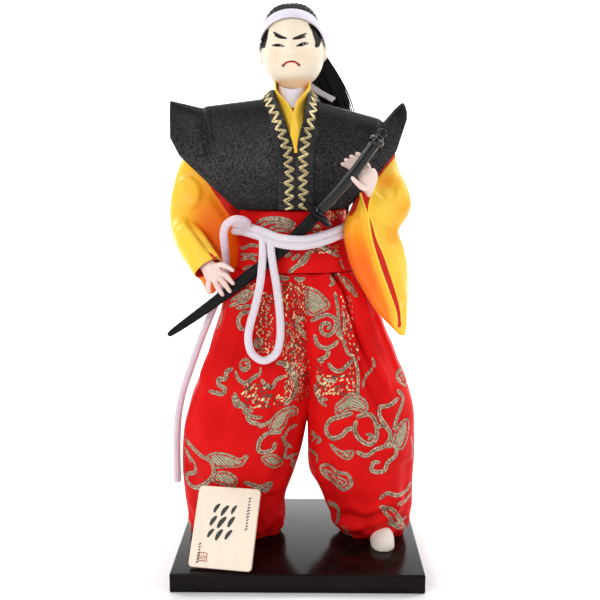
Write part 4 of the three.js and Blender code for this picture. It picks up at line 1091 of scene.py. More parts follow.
def paint_face(points, normals):
    """The colours of the face, painted as the view shows it, on the points that face forwards."""
    pixels = view_pixel(points)
    facing = smoothstep(-normals[:, 1], 0.0, 0.25)
    aside, _, up = (points - np.array(HEAD_PLACE)).T
    ragged = 0.25 * np.sin(pixels[:, 1] * 2.9) + 0.15 * np.sin(pixels[:, 1] * 6.1)
    shifted = pixels + columns(ragged, np.zeros(len(pixels)))

    def off(spot):
        return np.linalg.norm(pixels - head_pixel(*spot), axis=1)

    def dot(spot, wide):
        return 1 - smoothstep(off(spot), wide - 0.3, wide + 0.3)

    def drawn(line, widths, places=pixels):
        return brush(places, [head_pixel(*p) for p in line], widths)

    layers = [(depth * bump(off(spot), wide) * facing, PEACH) for spot, wide, depth in BLUSH_AND_NOSE_SHADE]
    # Painted shade under the chin, an orange band below the jaw.
    layers.append((0.5 * smoothstep(-up, 17.5, 21) * (1 - smoothstep(-up, 26, 30)), UNDER_CHIN_SHADE))
    layers.append((0.4 * smoothstep(np.abs(aside), 15.6, 17), PEACH))
    layers += [(0.97 * drawn(*line) * facing, INK) for line in BROWS + EYES]
    layers += [(dot(*iris) * facing, INK) for iris in IRISES]
    layers += [(0.8 * dot(*glint) * facing, GLINT) for glint in GLINTS]
    layers.append((drawn(*MOUTH) * facing, LIP))
    layers += [(0.7 * bump(off(spot), wide) * facing, INK) for spot, wide in MOUTH_CORNERS]
    layers += [(drawn(*line, shifted) * facing, INK) for line in SIDEBURNS]
    colors = np.tile(np.array(CREAM), (len(points), 1))
    for share, color in layers:
        colors = colors * (1 - share[:, None]) + np.array(color) * share[:, None]
    return colors


def make_head():
    bm = new_bmesh()

    def place(u, v):
        turned = u * TAU
        a = turned - np.pi / 2 - 0.55 * np.sin(turned)
        z = np.interp(v, [0, 0.08, 0.16, 0.82, 0.94, 1], [-38, -20.6, -14, 8, 15.5, HEAD_TOP])
        return head_to_doll(head_point(a, z))

    grid(bm, 230, 200, place)
    make_ear(bm, -1)
    make_ear(bm, 1)
    weld(bm)
    colors = paint_face(*points_and_normals(bm))
    obj = piece(bm, "head_painted", "face", ["head"])
    attribute = obj.data.attributes.new("paint", "FLOAT_COLOR", "POINT")
    rgba = np.concatenate([colors, np.ones((len(colors), 1))], axis=1)
    attribute.data.foreach_set("color", rgba.astype(np.float32).ravel())


HAIR_ROOT = np.array([0.5, 17.5, 9.0])
BAND_TILT = math.radians(45)
BAND_AT = 0.12


def band_side(points):
    """How far points lie above the middle plane of the tilted headband."""
    return math.sin(BAND_TILT) * points[:, 1] + math.cos(BAND_TILT) * points[:, 2] - BAND_AT


def make_hair():
    """A cap of combed hair over the skull, its strands drawn back to the tie."""
    bm = new_bmesh()

    def place(u, v):
        a = u * TAU + np.pi / 2
        skull = head_point(a, -13 + (HEAD_TOP + 13.0) * v, relief=False)
        off = unit(skull - HAIR_ROOT)
        comb = np.arctan2(off[:, 0], off[:, 2] + 0.3)
        ridge = 0.14 * np.sin(46 * comb) + 0.07 * np.sin(113 * comb + 1)
        lift = 0.5 + 1.15 * smoothstep(skull[:, 2], 7, 17) + ridge
        return skull + unit(skull - np.array([0, 0.5, -2])) * lift[:, None]

    grid(bm, 220, 110, place)
    bmesh.ops.remove_doubles(bm, verts=bm.verts, dist=0.01 * MM)
    doomed = []
    for face in bm.faces:
        middle = np.array(face.calc_center_median()) / MM
        below = band_side(middle[None])[0] < -1.2
        if below and middle[1] < 7.2 + 0.25 * math.sin(3 * middle[2]):
            doomed.append(face)
    bmesh.ops.delete(bm, geom=doomed, context="FACES")
    points = head_to_doll(np.array([v.co for v in bm.verts]) / MM)
    for vert, point in zip(bm.verts, points):
        vert.co = point * MM
    walled(bm, (0, 0, 1), 0.55)
    piece(bm, "hair_cap", "hair", ["hair"])


def band_height(a, edge, grow):
    """Height at which the tilted headband's edge crosses the head at each angle."""
    low, high = np.full(a.shape, -18.0), np.full(a.shape, 17.0)
    for _ in range(30):
        z = (low + high) / 2
        below = band_side(head_point(a, z, grow)) < edge
        low, high = np.where(below, z, low), np.where(below, high, z)
    return low


def make_headband():
    """The cloth band with soft creases along its length."""

    def place(u, v):
        a, turn = u * TAU, v * TAU
        edge = 2.8 * power_cos(turn, 5)
        out = 1.25 + 0.4 * power_sin(turn, 3)
        crease = 0.12 * np.sin(edge * 2.3 + 2.2 * np.sin(2 * a)) + 0.08 * np.sin(edge * 5 + 3 * a)
        out = out + np.where(np.sin(turn) > 0, crease, 0)
        z = band_height(a, edge, 1.0)
        p = head_point(a, z, 1.0, relief=False)
        way = unit(p - head_point(a, z, 0, relief=False))
        return head_to_doll(p + way * (out - 1.0)[:, None])

    piece(shell(200, 40, place, False), "headband_cloth", "white", ["headband"])


PONYTAIL = [
    (0, -1.5, 19.9, 287, 2.8, 1.1), (0.1, 1.5, 22, 280.4, 5.2, 2.6), (0.3, 10.5, 23.4, 262, 9.5, 3.8),
    (0.5, 16, 25.2, 245, 11.6, 4), (0.75, 19, 25.2, 218, 12, 3.9), (1, 19.5, 25.4, 184, 7, 2),
]


def make_ponytail():
    """A gathered tail of hair with deep strands and a few loose ones."""

    def place(u, v):
        x, y, z, wide, thick = smooth_table(PONYTAIL, v)
        a = u * TAU
        drift = 1.3 * np.sin(5 * a) + 1.2 * np.sin(2.3 * v + 9 * a)
        strands = 0.34 * np.sin(17 * a + 2 * drift) + 0.26 * np.sin(41 * a - 3 * v + drift)
        strands = strands + 0.2 * np.sin(83 * a + 5 * v + 3 * drift)
        fray = 1.6 * smoothstep(v, 0.93, 1) * np.sin(37 * a + 1.3)
        strands = strands * smoothstep(v, 0, 0.08)
        across = (wide + strands) * np.cos(a)
        tilt = 0.35 * (1 - v)
        return columns(x + across, y + (thick + strands) * np.sin(a), z + tilt * across + fray)

    bm = new_bmesh()
    grid(bm, 240, 90, place)
    for shift, lean in ((11.2, 1.0), (11.9, 1.6), (12.5, 2.2), (-10.6, -1.4)):
        rows = smooth_table(PONYTAIL, np.array([0.14, 0.25, 0.35, 0.45, 0.55]))
        line = [
            (x + shift * w / 12 + lean * i / 4, y - 0.5, z + 0.25 * shift * (1 - i / 4))
            for i, (x, y, z, w, _) in enumerate(rows.T)
        ]
        limb(bm, line, [(0, 0.34, 0.34), (0.5, 0.42, 0.42), (1, 0.3, 0.3)], (0, 1, 0.1), 6, 24)
    weld(bm)
    piece(bm, "ponytail_strands", "hair", ["ponytail"])

    def tie(u, v):
        a, b = u * TAU, v * TAU
        r = 0.7 + 0.08 * np.sin(14 * a)
        ring_x, ring_y = (3.9 + r * np.cos(b)) * np.cos(a), (2.0 + r * np.cos(b)) * np.sin(a)
        return columns(-0.6 + ring_x, 20.9 + ring_y, 284.2 + r * np.sin(b) + 0.3 * ring_x)

    piece(shell(60, 12, tie, False), "ponytail_tie", "white")


def cloth_strip(bm, path, width, high, rows, cols, wave_height):
    """A strip of cloth along a path of points with their outward directions."""
    points = spline([p for p, _ in path], 120)
    facing = unit(spline([o for _, o in path], 120))

    def section(a, v):
        w = 0.5 * width * power_cos(a, 8)
        return w, high / 2 * (1 + power_sin(a, 4)) + wave_height * np.sin(v * 9 + w)

    swept(bm, cols, rows, (points, *path_frames(points, facing)), section)


RIBBON_LEFT = [
    ((-1.5, 17, 261.4), (-0.1, -1, 0.5)), ((5.9, 16, 257.2), (0.1, -1, 0.5)),
    ((12, 14.4, 253.2), (0.2, -1, 0.5)), ((18.8, 12, 249.4), (0.3, -1, 0.5)),
]
RIBBON_RIGHT = [
    ((-6.4, 18.4, 262), (0, 1, 0.3)), ((-8, 20.8, 255), (0, 1, 0.1)), ((-9.8, 21.6, 245), (0, 1, 0.1)),
    ((-11.6, 22, 230), (0, 1, 0.1)),
]


def make_ribbons():
    for name, path in (("headband_tail_left", RIBBON_LEFT), ("headband_tail_right", RIBBON_RIGHT)):
        bm = new_bmesh()
        cloth_strip(bm, path, 3.5, 0.6, 60, 28, 0.1)
        weld(bm)
        piece(bm, name + "_cloth", "grey", [name])


# Vest: the outline of its shoulder line and lower edge, and how far front and back stand out

VEST_TOP = [
    (-67, 248.5), (-50, 244.6), (-48, 245.6), (-18, 249.3), (AXIS_X, 251), (11, 247.6), (42, 239.2),
    (44.4, 237.4), (50.1, 243.9), (53.2, 246.8), (54.6, 247.4), (55.8, 246.2), (56.6, 243.4),
]
VEST_BOTTOM = [
    (-67, 229), (-62, 219.8), (-31.5, 192.3), (25.2, 192.8), (35, 203.6), (51, 222), (56.6, 238.5),
]
VEST_DEPTH = [
    (-67, 6, 8.5), (-50, 12.4, 14), (-31, 17.8, 18.2), (-15, 21.2, 19.6), (AXIS_X, 21.9, 20),
    (9, 21.2, 19.6), (25, 17.8, 18.2), (44, 12.4, 13.4), (56.6, 4, 5),
]
VEST_CREASES = [(-49.6, 1.3, 1.3), (-45.6, 0.7, 1.2), (42.4, 1.0, 1.2)]
VEST_FOLDS = [
    ([(-46, 240), (-44.5, 228), (-38, 216)], 1.6, 0.8, 2.6),
    ([(-49.5, 238), (-48, 226), (-42, 212)], 1.4, -0.8, 2.2),
    ([(-58, 236), (-52, 226), (-44, 210), (-38, 200)], 3, 0.7, 4),
    ([(12, 226), (22, 232), (34, 236), (42, 236)], 2.4, 0.7, 4),
    ([(14, 214), (26, 226), (38, 232)], 2.4, -0.5, 4),
    ([(46, 228), (50, 236), (53, 244)], 1.6, -0.5, 3),
    ([(-34, 240), (-30, 222), (-26, 204)], 5, 0.5, 6),
]
ARCH = 3.2
ROBE_INSIDE = 3.7


def vest_point(x, turn):
    """Points of the vest's arch over the shoulder; turn runs from the front hem to the back hem."""
    top, bottom = straight_table(VEST_TOP, x)[0], straight_table(VEST_BOTTOM, x)[0]
    front, back = straight_table(VEST_DEPTH, x)
    c, s = np.cos(turn), np.sin(turn)
    z = bottom + (top - bottom) * np.abs(s) ** (2 / ARCH)
    crease = 0
    for at, depth, width in VEST_CREASES:
        crease = crease + depth * bump(x - at - 0.12 * (top - z), width)
    crease = crease * smoothstep(z, top - 34, top - 4)
    folds = fold_heights(columns(x, z), VEST_FOLDS)
    reach = np.where(c > 0, front - crease + folds, back + 0.5 * folds)
    y = np.where(c > 0, -1, 1) * reach * np.abs(c) ** (2 / ARCH)
    return columns(x, y, z)


def vest_front(x, z):
    """How far the vest's front stands out at x and z."""
    top, bottom = straight_table(VEST_TOP, x)[0], straight_table(VEST_BOTTOM, x)[0]
    rise = np.clip((z - bottom) / (top - bottom), 0, 1)
    return -straight_table(VEST_DEPTH, x)[0] * (1 - rise**ARCH) ** (1 / ARCH)


def vest_facing(x, z):
    slope = float(vest_front(x, z + 0.5) - vest_front(x, z - 0.5))
    return tuple(unit(np.array([0, -1.0, slope])))


NECKLINE = [(-1.1, 217), (4.8, 250), (5.4, 262), (-12.4, 262), (-11.6, 250)]


def inside_shape(x, z, shape):
    """Whether a point lies inside a closed outline."""
    inside = False
    for (x1, z1), (x2, z2) in zip(shape, shape[1:] + shape[:1]):
        if (z1 > z) != (z2 > z) and x < (x2 - x1) * (z - z1) / (z2 - z1) + x1:
            inside = not inside
    return inside


def make_vest():
    bm = new_bmesh()
    left, right = VEST_TOP[0][0], VEST_TOP[-1][0]
    grid(bm, 190, 150, lambda u, v: vest_point(left + (right - left) * u, v * np.pi))
    doomed = []
    for face in bm.faces:
        x, y, z = face.calc_center_median() / MM
        in_v = y < -2 and inside_shape(x, z, NECKLINE)
        in_neck = math.hypot((x - AXIS_X) / 11, (y - 0.5) / 11.4) < 1 and z > 238
        if in_v or in_neck:
            doomed.append(face)
    bmesh.ops.delete(bm, geom=doomed, context="FACES")
    walled(bm, (0, -1, 0), 1.3)
    piece(bm, "vest_cloth", "vest", ["vest"])


BORDER_FRONT = {
    -1: [
        (-15.6, 247.6), (-13.4, 242.4), (-10.2, 234), (-7.2, 225), (-5.4, 215), (-5.3, 204), (-5.3, 192.4),
    ],
    1: [(8, 247.4), (7.5, 242), (6.6, 235), (4.5, 226.6), (3.6, 215), (3.5, 204), (3.5, 192.4)],
}
BORDER_HALF = 4.5
RIB_PITCH = 1.25
SCALLOP_PITCH = 1.9
TOOTH_PITCH = 4.6
CORNER_ROWS = 6


def border_neck(side):
    reach = 13.4 if side < 0 else 11
    return [
        ((AXIS_X + side * 0.5, 14.6, 249.6), (0, 1, 0.35)),
        ((AXIS_X + side * 6.6, 13.2, 249.8), (side * 0.5, 0.8, 0.5)),
        ((AXIS_X + side * (reach - 0.6), 7.4, 250.6), (side * 0.7, 0.3, 1)),
        ((AXIS_X + side * reach, -1.5, 250.6), (side * 0.5, -0.3, 1.2)),
    ]


def zigzag_braid(bm, path, inner, shift, reach, phase, thick):
    """A flat braid in zigzag, shift millimetres towards the inner edge of a ribbon."""
    points, across, out = path
    teeth = int(path_length(points) / TOOTH_PITCH)
    corners = []
    for i in range(2 * teeth + 1):
        late = phase + 0.22 * math.sin(2.3 * i) * (1 - phase)
        v = np.array([np.clip((i + late) / (2 * teeth), 0, 1)])
        tip = reach * (1 + 0.12 * math.sin(1.7 * i + phase))
        w = inner * (shift + (tip if i % 2 else -tip))
        lift = 1.15 if phase else 0.9
        corners.append((along_path(points, v) + along_path(across, v) * w + along_path(out, v) * lift)[0])
    rows = CORNER_ROWS * (len(corners) - 1)
    share = np.linspace(0, 1, rows + 1)
    line = along_path(np.array(corners), share)
    way_out = along_path(out, share)
    way_side = unit(np.cross(tangents(line), way_out))

    def braid(u, v):
        k = np.clip(np.rint(v * rows).astype(int), 0, rows)
        a = u * TAU
        wide = thick * (0.75 + 0.25 * np.abs(np.sin(k * np.pi / CORNER_ROWS)))
        aside = line[k] + way_side[k] * (wide * np.cos(a))[:, None]
        return aside + way_out[k] * (0.24 * np.sin(a))[:, None]

    grid(bm, 6, rows, braid)


def make_border(side, name):
    """The ribbed ribbon down one edge of the vest, with two gold zigzag braids near its inner edge."""
    chest = [((x, float(vest_front(x, z)), z), vest_facing(x, z)) for x, z in BORDER_FRONT[side]]
    edge = border_neck(side) + chest
    points = spline([p for p, _ in edge], 400)
    path = (points, *path_frames(points, unit(spline([o for _, o in edge], 400))))
    length = path_length(points)

    def ribbon(a, v):
        w = BORDER_HALF * power_cos(a, 9)
        rib = 0.1 * np.sin(v * length * TAU / RIB_PITCH) * (np.sin(a) > 0)
        scallop = 0.18 * np.abs(np.sin(v * length * np.pi / SCALLOP_PITCH)) * (np.abs(w) > 4.3)
        return w + np.sign(w) * scallop, 0.1 + 0.62 * power_sin(a, 4) + rib

    bm = new_bmesh()
    swept(bm, 40, int(length / 0.3), path, ribbon)
    weld(bm)
    piece(bm, name + "_ribbon", "ribbed", [name])
    bm = new_bmesh()
    inner = 1.0 if path[1][250][0] * side < 0 else -1.0
    zigzag_braid(bm, path, inner, 0.8, 2.4, 0.0, 0.5)
    zigzag_braid(bm, path, inner, 0.9, 2.2, 0.4, 0.2)
    weld(bm)
    piece(bm, name + "_zigzag", "gold")


# Robe: body under the vest, crossed collar and white inner collar

COLLAR_CHEST = {
    -1: [((-10.6, -7.6, 250.8), (-0.4, -1, 0.5)), ((-8.9, -10, 247.4), (-0.2, -1, 0.45)), ((-6.3, -13.2,
        243.2), (0, -1, 0.4)), ((-3.9, -15.8, 238), (0, -1, 0.35)), ((-2.3, -17.6, 231), (0, -1, 0.2)),
        ((-1.3, -19, 221), (0, -1, 0.1))],
    1: [((4.7, -6.6, 252), (0.4, -1, 0.5)), ((3.1, -9.6, 248.8), (0.2, -1, 0.45)), ((0.6, -13.1, 244.4),
        (0, -1, 0.4)), ((-0.3, -16.4, 238), (0, -1, 0.35)), ((-0.8, -18.4, 231), (0, -1, 0.2)),
        ((-1.2, -19.8, 221), (0, -1, 0.1))],
}


def collar_neck(side):
    front = -5.2 if side < 0 else -4.6
    return [
        ((AXIS_X + side * 0.1, 10.4, 255.4), (0, 1, 0.1)),
        ((AXIS_X + side * 7, 7.6, 255.8), (side * 0.8, 0.6, 0.1)),
        ((AXIS_X + side * 8.5, 0.8, 255.6), (side, -0.05, 0.2)),
        ((AXIS_X + side * 8.1, front, 253.6), (side * 0.8, -0.6, 0.4)),
    ]


def make_collars():
    bm = new_bmesh()
    for side in (-1, 1):
        cloth_strip(bm, collar_neck(side) + COLLAR_CHEST[side], 6.6, 0.9, 110, 30, 0.05)
    weld(bm)
    collar = piece(bm, "collar_satin", "yellow", ["robe_collar"])
    # Painted shade: the collar's yellow is deepened towards orange lower down, near the vest.
    set_painted_shade(collar, 0.08 + 0.12 * smoothstep(234 - mesh_points(collar)[:, 2], 0, 14))


def make_under_collar():
    """A white band closed round the neck, lower and flared in front."""

    def place(u, v):
        a, turn = u * TAU, v * TAU
        front = np.clip(-np.sin(a), 0, 1) ** 1.3
        top = 257.4 - 3.6 * front
        z = 244 + (top - 244) * (0.5 + 0.5 * power_sin(turn, 8))
        down = np.maximum(254.5 - z, 0)
        out = 0.3 * power_cos(turn, 4) + 0.05 * np.sin(9 * a + z)
        half = 7.5 + 0.1 * down + out
        depth = 7.8 + 0.42 * down * front + out
        return columns(AXIS_X + np.cos(a) * half, np.sin(a) * depth, z)

    piece(shell(110, 44, place, False), "under_collar_cloth", "white", ["under_collar"])


def make_robe():
    """The robe's body, which shows inside the neckline and under the vest."""

    def place(u, v):
        x = -30.5 + 54.7 * v
        top, bottom = straight_table(VEST_TOP, x)[0] - ROBE_INSIDE, straight_table(VEST_BOTTOM, x)[0]
        front, back = (depth - ROBE_INSIDE for depth in straight_table(VEST_DEPTH, x))
        arch = u * TAU
        c, s = np.cos(np.minimum(arch, np.pi)), np.sin(np.minimum(arch, np.pi))
        under = np.clip((arch - np.pi) / np.pi, 0, 1)
        over = arch < np.pi
        round_y = np.where(c > 0, -front, back) * np.abs(c) ** (2 / ARCH)
        y = np.where(over, round_y, back - (front + back) * under)
        z = np.where(over, np.minimum(bottom + (top - bottom) * np.abs(s) ** (2 / ARCH), 245), bottom)
        return columns(x, y, z)

    obj = piece(shell(120, 60, place), "robe_satin", "yellow", ["robe_body"])
    # Painted shade: the robe's yellow is deepened towards orange lower down, inside the neckline and under
    # the vest.
    set_painted_shade(obj, 0.3 + 0.6 * smoothstep(240 - mesh_points(obj)[:, 2], 0, 40))


# Sleeves: rows hold height, outer end x y, inner end x y and half thickness

SLEEVE_RIGHT = [
    (228, -56, 3, -46, 1, 3), (215, -63.5, 3, -42, 3, 6.4), (205, -66.8, 3, -38, 4, 7.6),
    (195, -68.8, 2, -33, 6.6, 8), (184, -69, 2, -30.6, 7.8, 7.6), (174, -67, 2, -30.6, 8, 7),
    (165, -62.5, 1, -31, 8, 6), (159, -58, 1, -31.8, 7, 5.4), (152, -52.4, 1, -39, 4, 3.8),
    (145.6, -49.6, 1, -46.8, 2, 1),
]
SLEEVE_LEFT = [
    (228, 50, 2, 41, -1, 2.6), (218, 51.5, 2, 37.5, -3, 5), (212, 53, 1, 35.5, -6, 6.2),
    (206, 55.9, 0, 32, -10, 7.6), (195, 58.4, -2, 28.6, -16, 9), (188, 57, -3, 25.4, -18.5, 9),
    (181, 52.2, -5, 24.2, -19.5, 8.4), (173, 55, -5, 25.2, -20, 8), (162, 57.3, -6, 28.4, -19.5, 7.5),
    (150, 57.6, -7, 34.6, -18, 6.5), (140, 57.5, -8.5, 40.8, -17, 5), (132, 57.4, -10, 48, -15, 3.5),
    (125.5, 57, -11, 54, -12.5, 1.2),
]
# The right forearm turns in at the cuff: step, share of the way, half width and half thickness
FOREARM = [
    (0.0, 0.0, 2.6, 2.0), (0.12, 0.16, 6.4, 5.0), (0.35, 0.45, 8.0, 6.4), (0.74, 1.0, 8.2, 6.1),
    (0.77, 1.02, 7.9, 5.8), (0.80, 1.0, 7.0, 5.0), (0.9, 0.86, 6.4, 4.5), (1.0, 0.72, 4.0, 3.0),
]
ELBOW = np.array([-61, -4, 181.5])
CUFF = np.array([-46.8, -19.6, 162.4])
CUFF_ACROSS = np.array([0.8, 0.1, 0.6])
LIP_NEAR = [
    (30.4, 205), (31.8, 201.4), (32.9, 197), (34.5, 192.2), (35.6, 188.6), (37.5, 178), (41.4, 165),
    (46.6, 151.2), (50.8, 139.6), (52.6, 130.4),
]
LIP_FAR = [
    (40.6, 207), (39.4, 203.6), (37.6, 199.4), (36.5, 195), (36.4, 190), (37.8, 187), (40.6, 178),
    (44.2, 170), (47.6, 160.5), (50.8, 151.2), (53.7, 140.2), (54.2, 131.4),
]
# The rolled lips: share of their length, half width and half thickness
LIP_SIZES = [(0, 0.3, 0.3), (0.1, 0.62, 0.55), (0.9, 0.62, 0.55), (1, 0.3, 0.3)]
RIGHT_ARMHOLE = [
    (202, 173), (214, 178), (236, 198), (243, 212), (240, 222), (230, 216), (221, 203), (211, 188),
]
LEFT_INSIDE = [(349, 216), (351, 202), (355, 190), (362, 188), (360.5, 197), (356, 210), (352, 216)]
LEFT_ARMHOLE = [(371, 175), (378, 178), (386, 168), (400, 152), (400, 144), (384, 156)]
RIGHT_FOLDS = [
    ([(-64, 204), (-58, 208), (-53, 203), (-54, 196), (-60, 192)], 1.8, 1.5, 3),
    ([(-60, 188), (-53, 181), (-46, 173), (-38, 165)], 1.1, -2.4, 1.6),
    ([(-62, 184), (-55, 178), (-50, 171)], 2.4, 1.0, 3),
    ([(-59, 222), (-52, 212), (-45, 203), (-38, 196), (-34, 190)], 2.2, 1.6, 3.4),
    ([(-50, 200), (-44, 190), (-39, 180), (-36, 170)], 3.2, 1.0, 5),
    ([(-46, 206), (-42, 196), (-38, 186)], 2.2, -0.9, 4),
    ([(-66, 196), (-64, 186), (-62, 176)], 2.6, 0.9, 3),
]
# Spots of painted shade on the left sleeve: x, z, depth and how much flatter than round
LEFT_SHADES = [(46, 207, 0.5, 1.6), (56, 192, 0.3, 1), (50, 179, 0.4, 1)]
LEFT_FOLDS = [
    ([(47, 212), (53, 207), (57, 198), (57, 190)], 2.2, 1.2, 4),
    ([(40, 200), (44, 204), (52, 202)], 2.4, -1.0, 4),
    ([(38, 190), (44, 186), (52, 182)], 2.2, -1.6, 3.6),
    ([(46, 176), (50, 168), (53, 156), (56, 140)], 2.4, 1.2, 4),
    ([(27, 192), (28, 180), (32, 166), (38, 152), (46, 138)], 2.6, 1.0, 3),
    ([(32, 196), (33, 184), (37, 168), (43, 152), (50, 136)], 1.6, 1.4, 2),
    ([(54, 150), (56, 140), (56.5, 130)], 1.6, -0.8, 2),
]


def sleeve_bag(bm, rows, nu, nv):
    low, high = rows[-1][0], rows[0][0]

    def place(u, v):
        z = low + (high - low) * v
        xa, ya, xb, yb, thick = smooth_table(rows, z)
        middle = columns((xa + xb) / 2, (ya + yb) / 2, z)
        half = columns((xa - xb) / 2, (ya - yb) / 2, np.zeros_like(z))
        across = unit(columns(-half[:, 1], half[:, 0], np.zeros_like(z)))
        a = u * TAU
        return middle + half * power_cos(a, 2.2)[:, None] + across * (power_sin(a, 2.2) * thick)[:, None]

    grid(bm, nu, nv, place)


def make_sleeve_right():
    axis = unit(CUFF - ELBOW)
    deep = unit(np.cross(axis, CUFF_ACROSS))
    reach = np.linalg.norm(CUFF - ELBOW) + 7
    bm = new_bmesh()
    sleeve_bag(bm, SLEEVE_RIGHT, 80, 110)
    weld(bm)
    line = spline([ELBOW - axis * 7, ELBOW, CUFF], 60)
    side, out = path_frames(line, deep)

    def place(u, v):
        share, wide, thick = straight_table(FOREARM, v)
        centre = along_path(line, np.clip(share, 0, 1)) + axis * (np.maximum(share - 1, 0) * reach)[:, None]
        across, outward = along_path(side, np.clip(share, 0, 1)), along_path(out, np.clip(share, 0, 1))
        a = u * TAU
        return centre + across * (wide * np.cos(a))[:, None] + outward * (thick * np.sin(a))[:, None]

    grid(bm, 64, 120, place)
    weld(bm)
    bm = remeshed(bm, 0.62, 5)

    def relief(points, normals):
        front = fold_heights(points[:, [0, 2]], RIGHT_FOLDS) * smoothstep(-normals[:, 1], -0.2, 0.5)
        back = fold_heights(points[:, [0, 2]], RIGHT_FOLDS[3:6]) * smoothstep(normals[:, 1], 0.2, 0.6)
        return front + 0.35 * back

    push(bm, relief)
    for face in bm.faces:
        point = np.array(face.calc_center_median()) / MM
        normal = np.array(face.normal)
        inward = np.dot(point - CUFF, axis)
        radial = point - CUFF - axis * inward
        in_cuff = -8 < inward < 0.4 and np.linalg.norm(radial) < 7.4 and np.dot(normal, radial) < 0
        if in_cuff or seen_in(point, normal, RIGHT_ARMHOLE):
            face.material_index = 1
    obj = piece(bm, "sleeve_right_satin", ("yellow", "lining"), ["sleeve_right"])
    # Painted shade: deeper orange on the inner side near the body and lower down, less on the forearm.
    points = mesh_points(obj)
    inner = smoothstep(points[:, 0], -64, -47) * smoothstep(points[:, 1], -15, -2)
    low = smoothstep(212 - points[:, 2], 0, 34)
    forearm = smoothstep(-points[:, 1], 7, 12)
    set_painted_shade(obj, np.clip(0.1 + (0.35 + 0.5 * low) * inner - 0.3 * forearm + 0.2 * forearm * low, 0.05, 1))


def seen_in(point, normal, shape):
    """Whether a point faces the camera and shows inside an outline of the view."""
    if np.dot(normal, point - CAMERA_AT) > 0:
        return False
    ((px, py),) = view_pixel(point[None])
    return inside_shape(px, py, shape)


def make_slit(sleeve):
    """The red lining that shows in the slit of the left sleeve, between two rolled lips."""
    tree = BVHTree.FromBMesh(sleeve)

    def laid(line):
        spots = []
        for x, z in spline(line, 150):
            hit = tree.ray_cast(Vector((x, -80, z)) * MM, Vector((0, 1, 0)))[0]
            spots.append((x, hit.y / MM - 0.35 if hit else np.nan, z))
        spots = np.array(spots)
        known = ~np.isnan(spots[:, 1])
        spots[:, 1] = np.interp(np.arange(150), np.arange(150)[known], spots[known, 1])
        spots[2:-2, 1] = np.convolve(spots[:, 1], np.full(5, 0.2), "valid")
        return spots

    near, far = laid(LIP_NEAR), laid(LIP_FAR)
    bm = new_bmesh()

    def lining(u, v):
        a, b = along_path(near, v), along_path(far, v)
        flat = a * (1 - u)[:, None] + b * u[:, None]
        for spot in flat:
            hit = tree.ray_cast(Vector((spot[0], -80, spot[2])) * MM, Vector((0, 1, 0)))[0]
            if hit:
                spot[1] = hit.y / MM
        return flat - np.array([0, 0.28, 0])

    grid(bm, 12, 150, lining)
    walled(bm, (0, -1, 0), 0.3)
    piece(bm, "sleeve_left_lining", "lining")
    bm = new_bmesh()
    for line in (near, far):
        limb(bm, line[::5], LIP_SIZES, (0, -1, 0), 12, 150)
    weld(bm)
    lips = piece(bm, "sleeve_left_lips", "yellow")
    set_painted_shade(lips, np.zeros(len(lips.data.vertices)))


def make_sleeve_left():
    bm = new_bmesh()
    sleeve_bag(bm, SLEEVE_LEFT, 90, 150)
    weld(bm)
    bm = remeshed(bm, 0.62, 4)

    def relief(points, normals):
        front = fold_heights(points[:, [0, 2]], LEFT_FOLDS)
        return front * smoothstep(-normals[:, 1], -0.2, 0.5)

    push(bm, relief)
    make_slit(bm)
    for face in bm.faces:
        point, normal = np.array(face.calc_center_median()) / MM, np.array(face.normal)
        if seen_in(point, normal, LEFT_ARMHOLE) or seen_in(point, normal, LEFT_INSIDE):
            face.material_index = 1
    obj = piece(bm, "sleeve_left_satin", ("yellow", "lining"), ["sleeve_left"])
    # Painted shade: deeper orange on the flap beside the slit, on the inner side lower down, and at the
    # shade spots.
    points = mesh_points(obj)
    inner = 1 - smoothstep(points[:, 0], 30, 44)
    low = smoothstep(205 - points[:, 2], 10, 50)
    near = spline(LIP_NEAR, 40)
    lip = np.interp(points[:, 2], near[::-1, 1], near[::-1, 0])
    flap = smoothstep(lip - points[:, 0], 0.5, 5) * smoothstep(204 - points[:, 2], 0, 12)
    shade = 0
    for x, z, depth, squash in LEFT_SHADES:
        shade = shade + depth * bump(np.hypot(points[:, 0] - x, (points[:, 2] - z) * squash), 6)
    set_painted_shade(obj, np.clip(0.1 + flap * (0.32 + 0.45 * low) + 0.3 * inner * low + shade, 0.05, 1))


# Sword

SWORD_LINE = [
    (-69.8, 124.8), (-50.4, 139.0), (-31.8, 153.4), (-9.9, 171), (9.6, 190.6), (25.5, 208.6),
    (40.3, 229.3),
]
GUARD_AT = 0.6785
SHEATH_TAPER = [
    (0, 0.36), (0.015, 0.52), (0.05, 0.64), (0.13, 0.78), (0.24, 0.9), (0.45, 1.02), (0.7, 1.04),
    (1, 1),
]
SWORD_CURVE = spline([(x, -24.5 - 0.27 * (x + 8), z) for x, z in SWORD_LINE], 400)
# The guard's rim, as shares of its size and places along the sword, and the cap on the grip
GUARD_EDGE = [
    (0.9, -0.004), (0.965, -0.0037), (0.99, -0.0025), (0.95, -0.001), (0.95, 0.003), (0.99, 0.0055),
    (0.965, 0.0072), (0.9, 0.008),
]
POMMEL = [(0.966, 2.8, 2.5), (0.97, 3.2, 2.9), (0.977, 3.9, 3.4), (0.983, 3.9, 3.4), (0.989, 3.1, 2.8)]


def sword_frames(t):
    points = along_path(SWORD_CURVE, t)
    ahead = along_path(tangents(SWORD_CURVE), t)
    deep = unit(np.array([0, -1.0, 0]) + ahead * ahead[:, 1:2])
    return points, ahead, deep, unit(np.cross(ahead, deep))


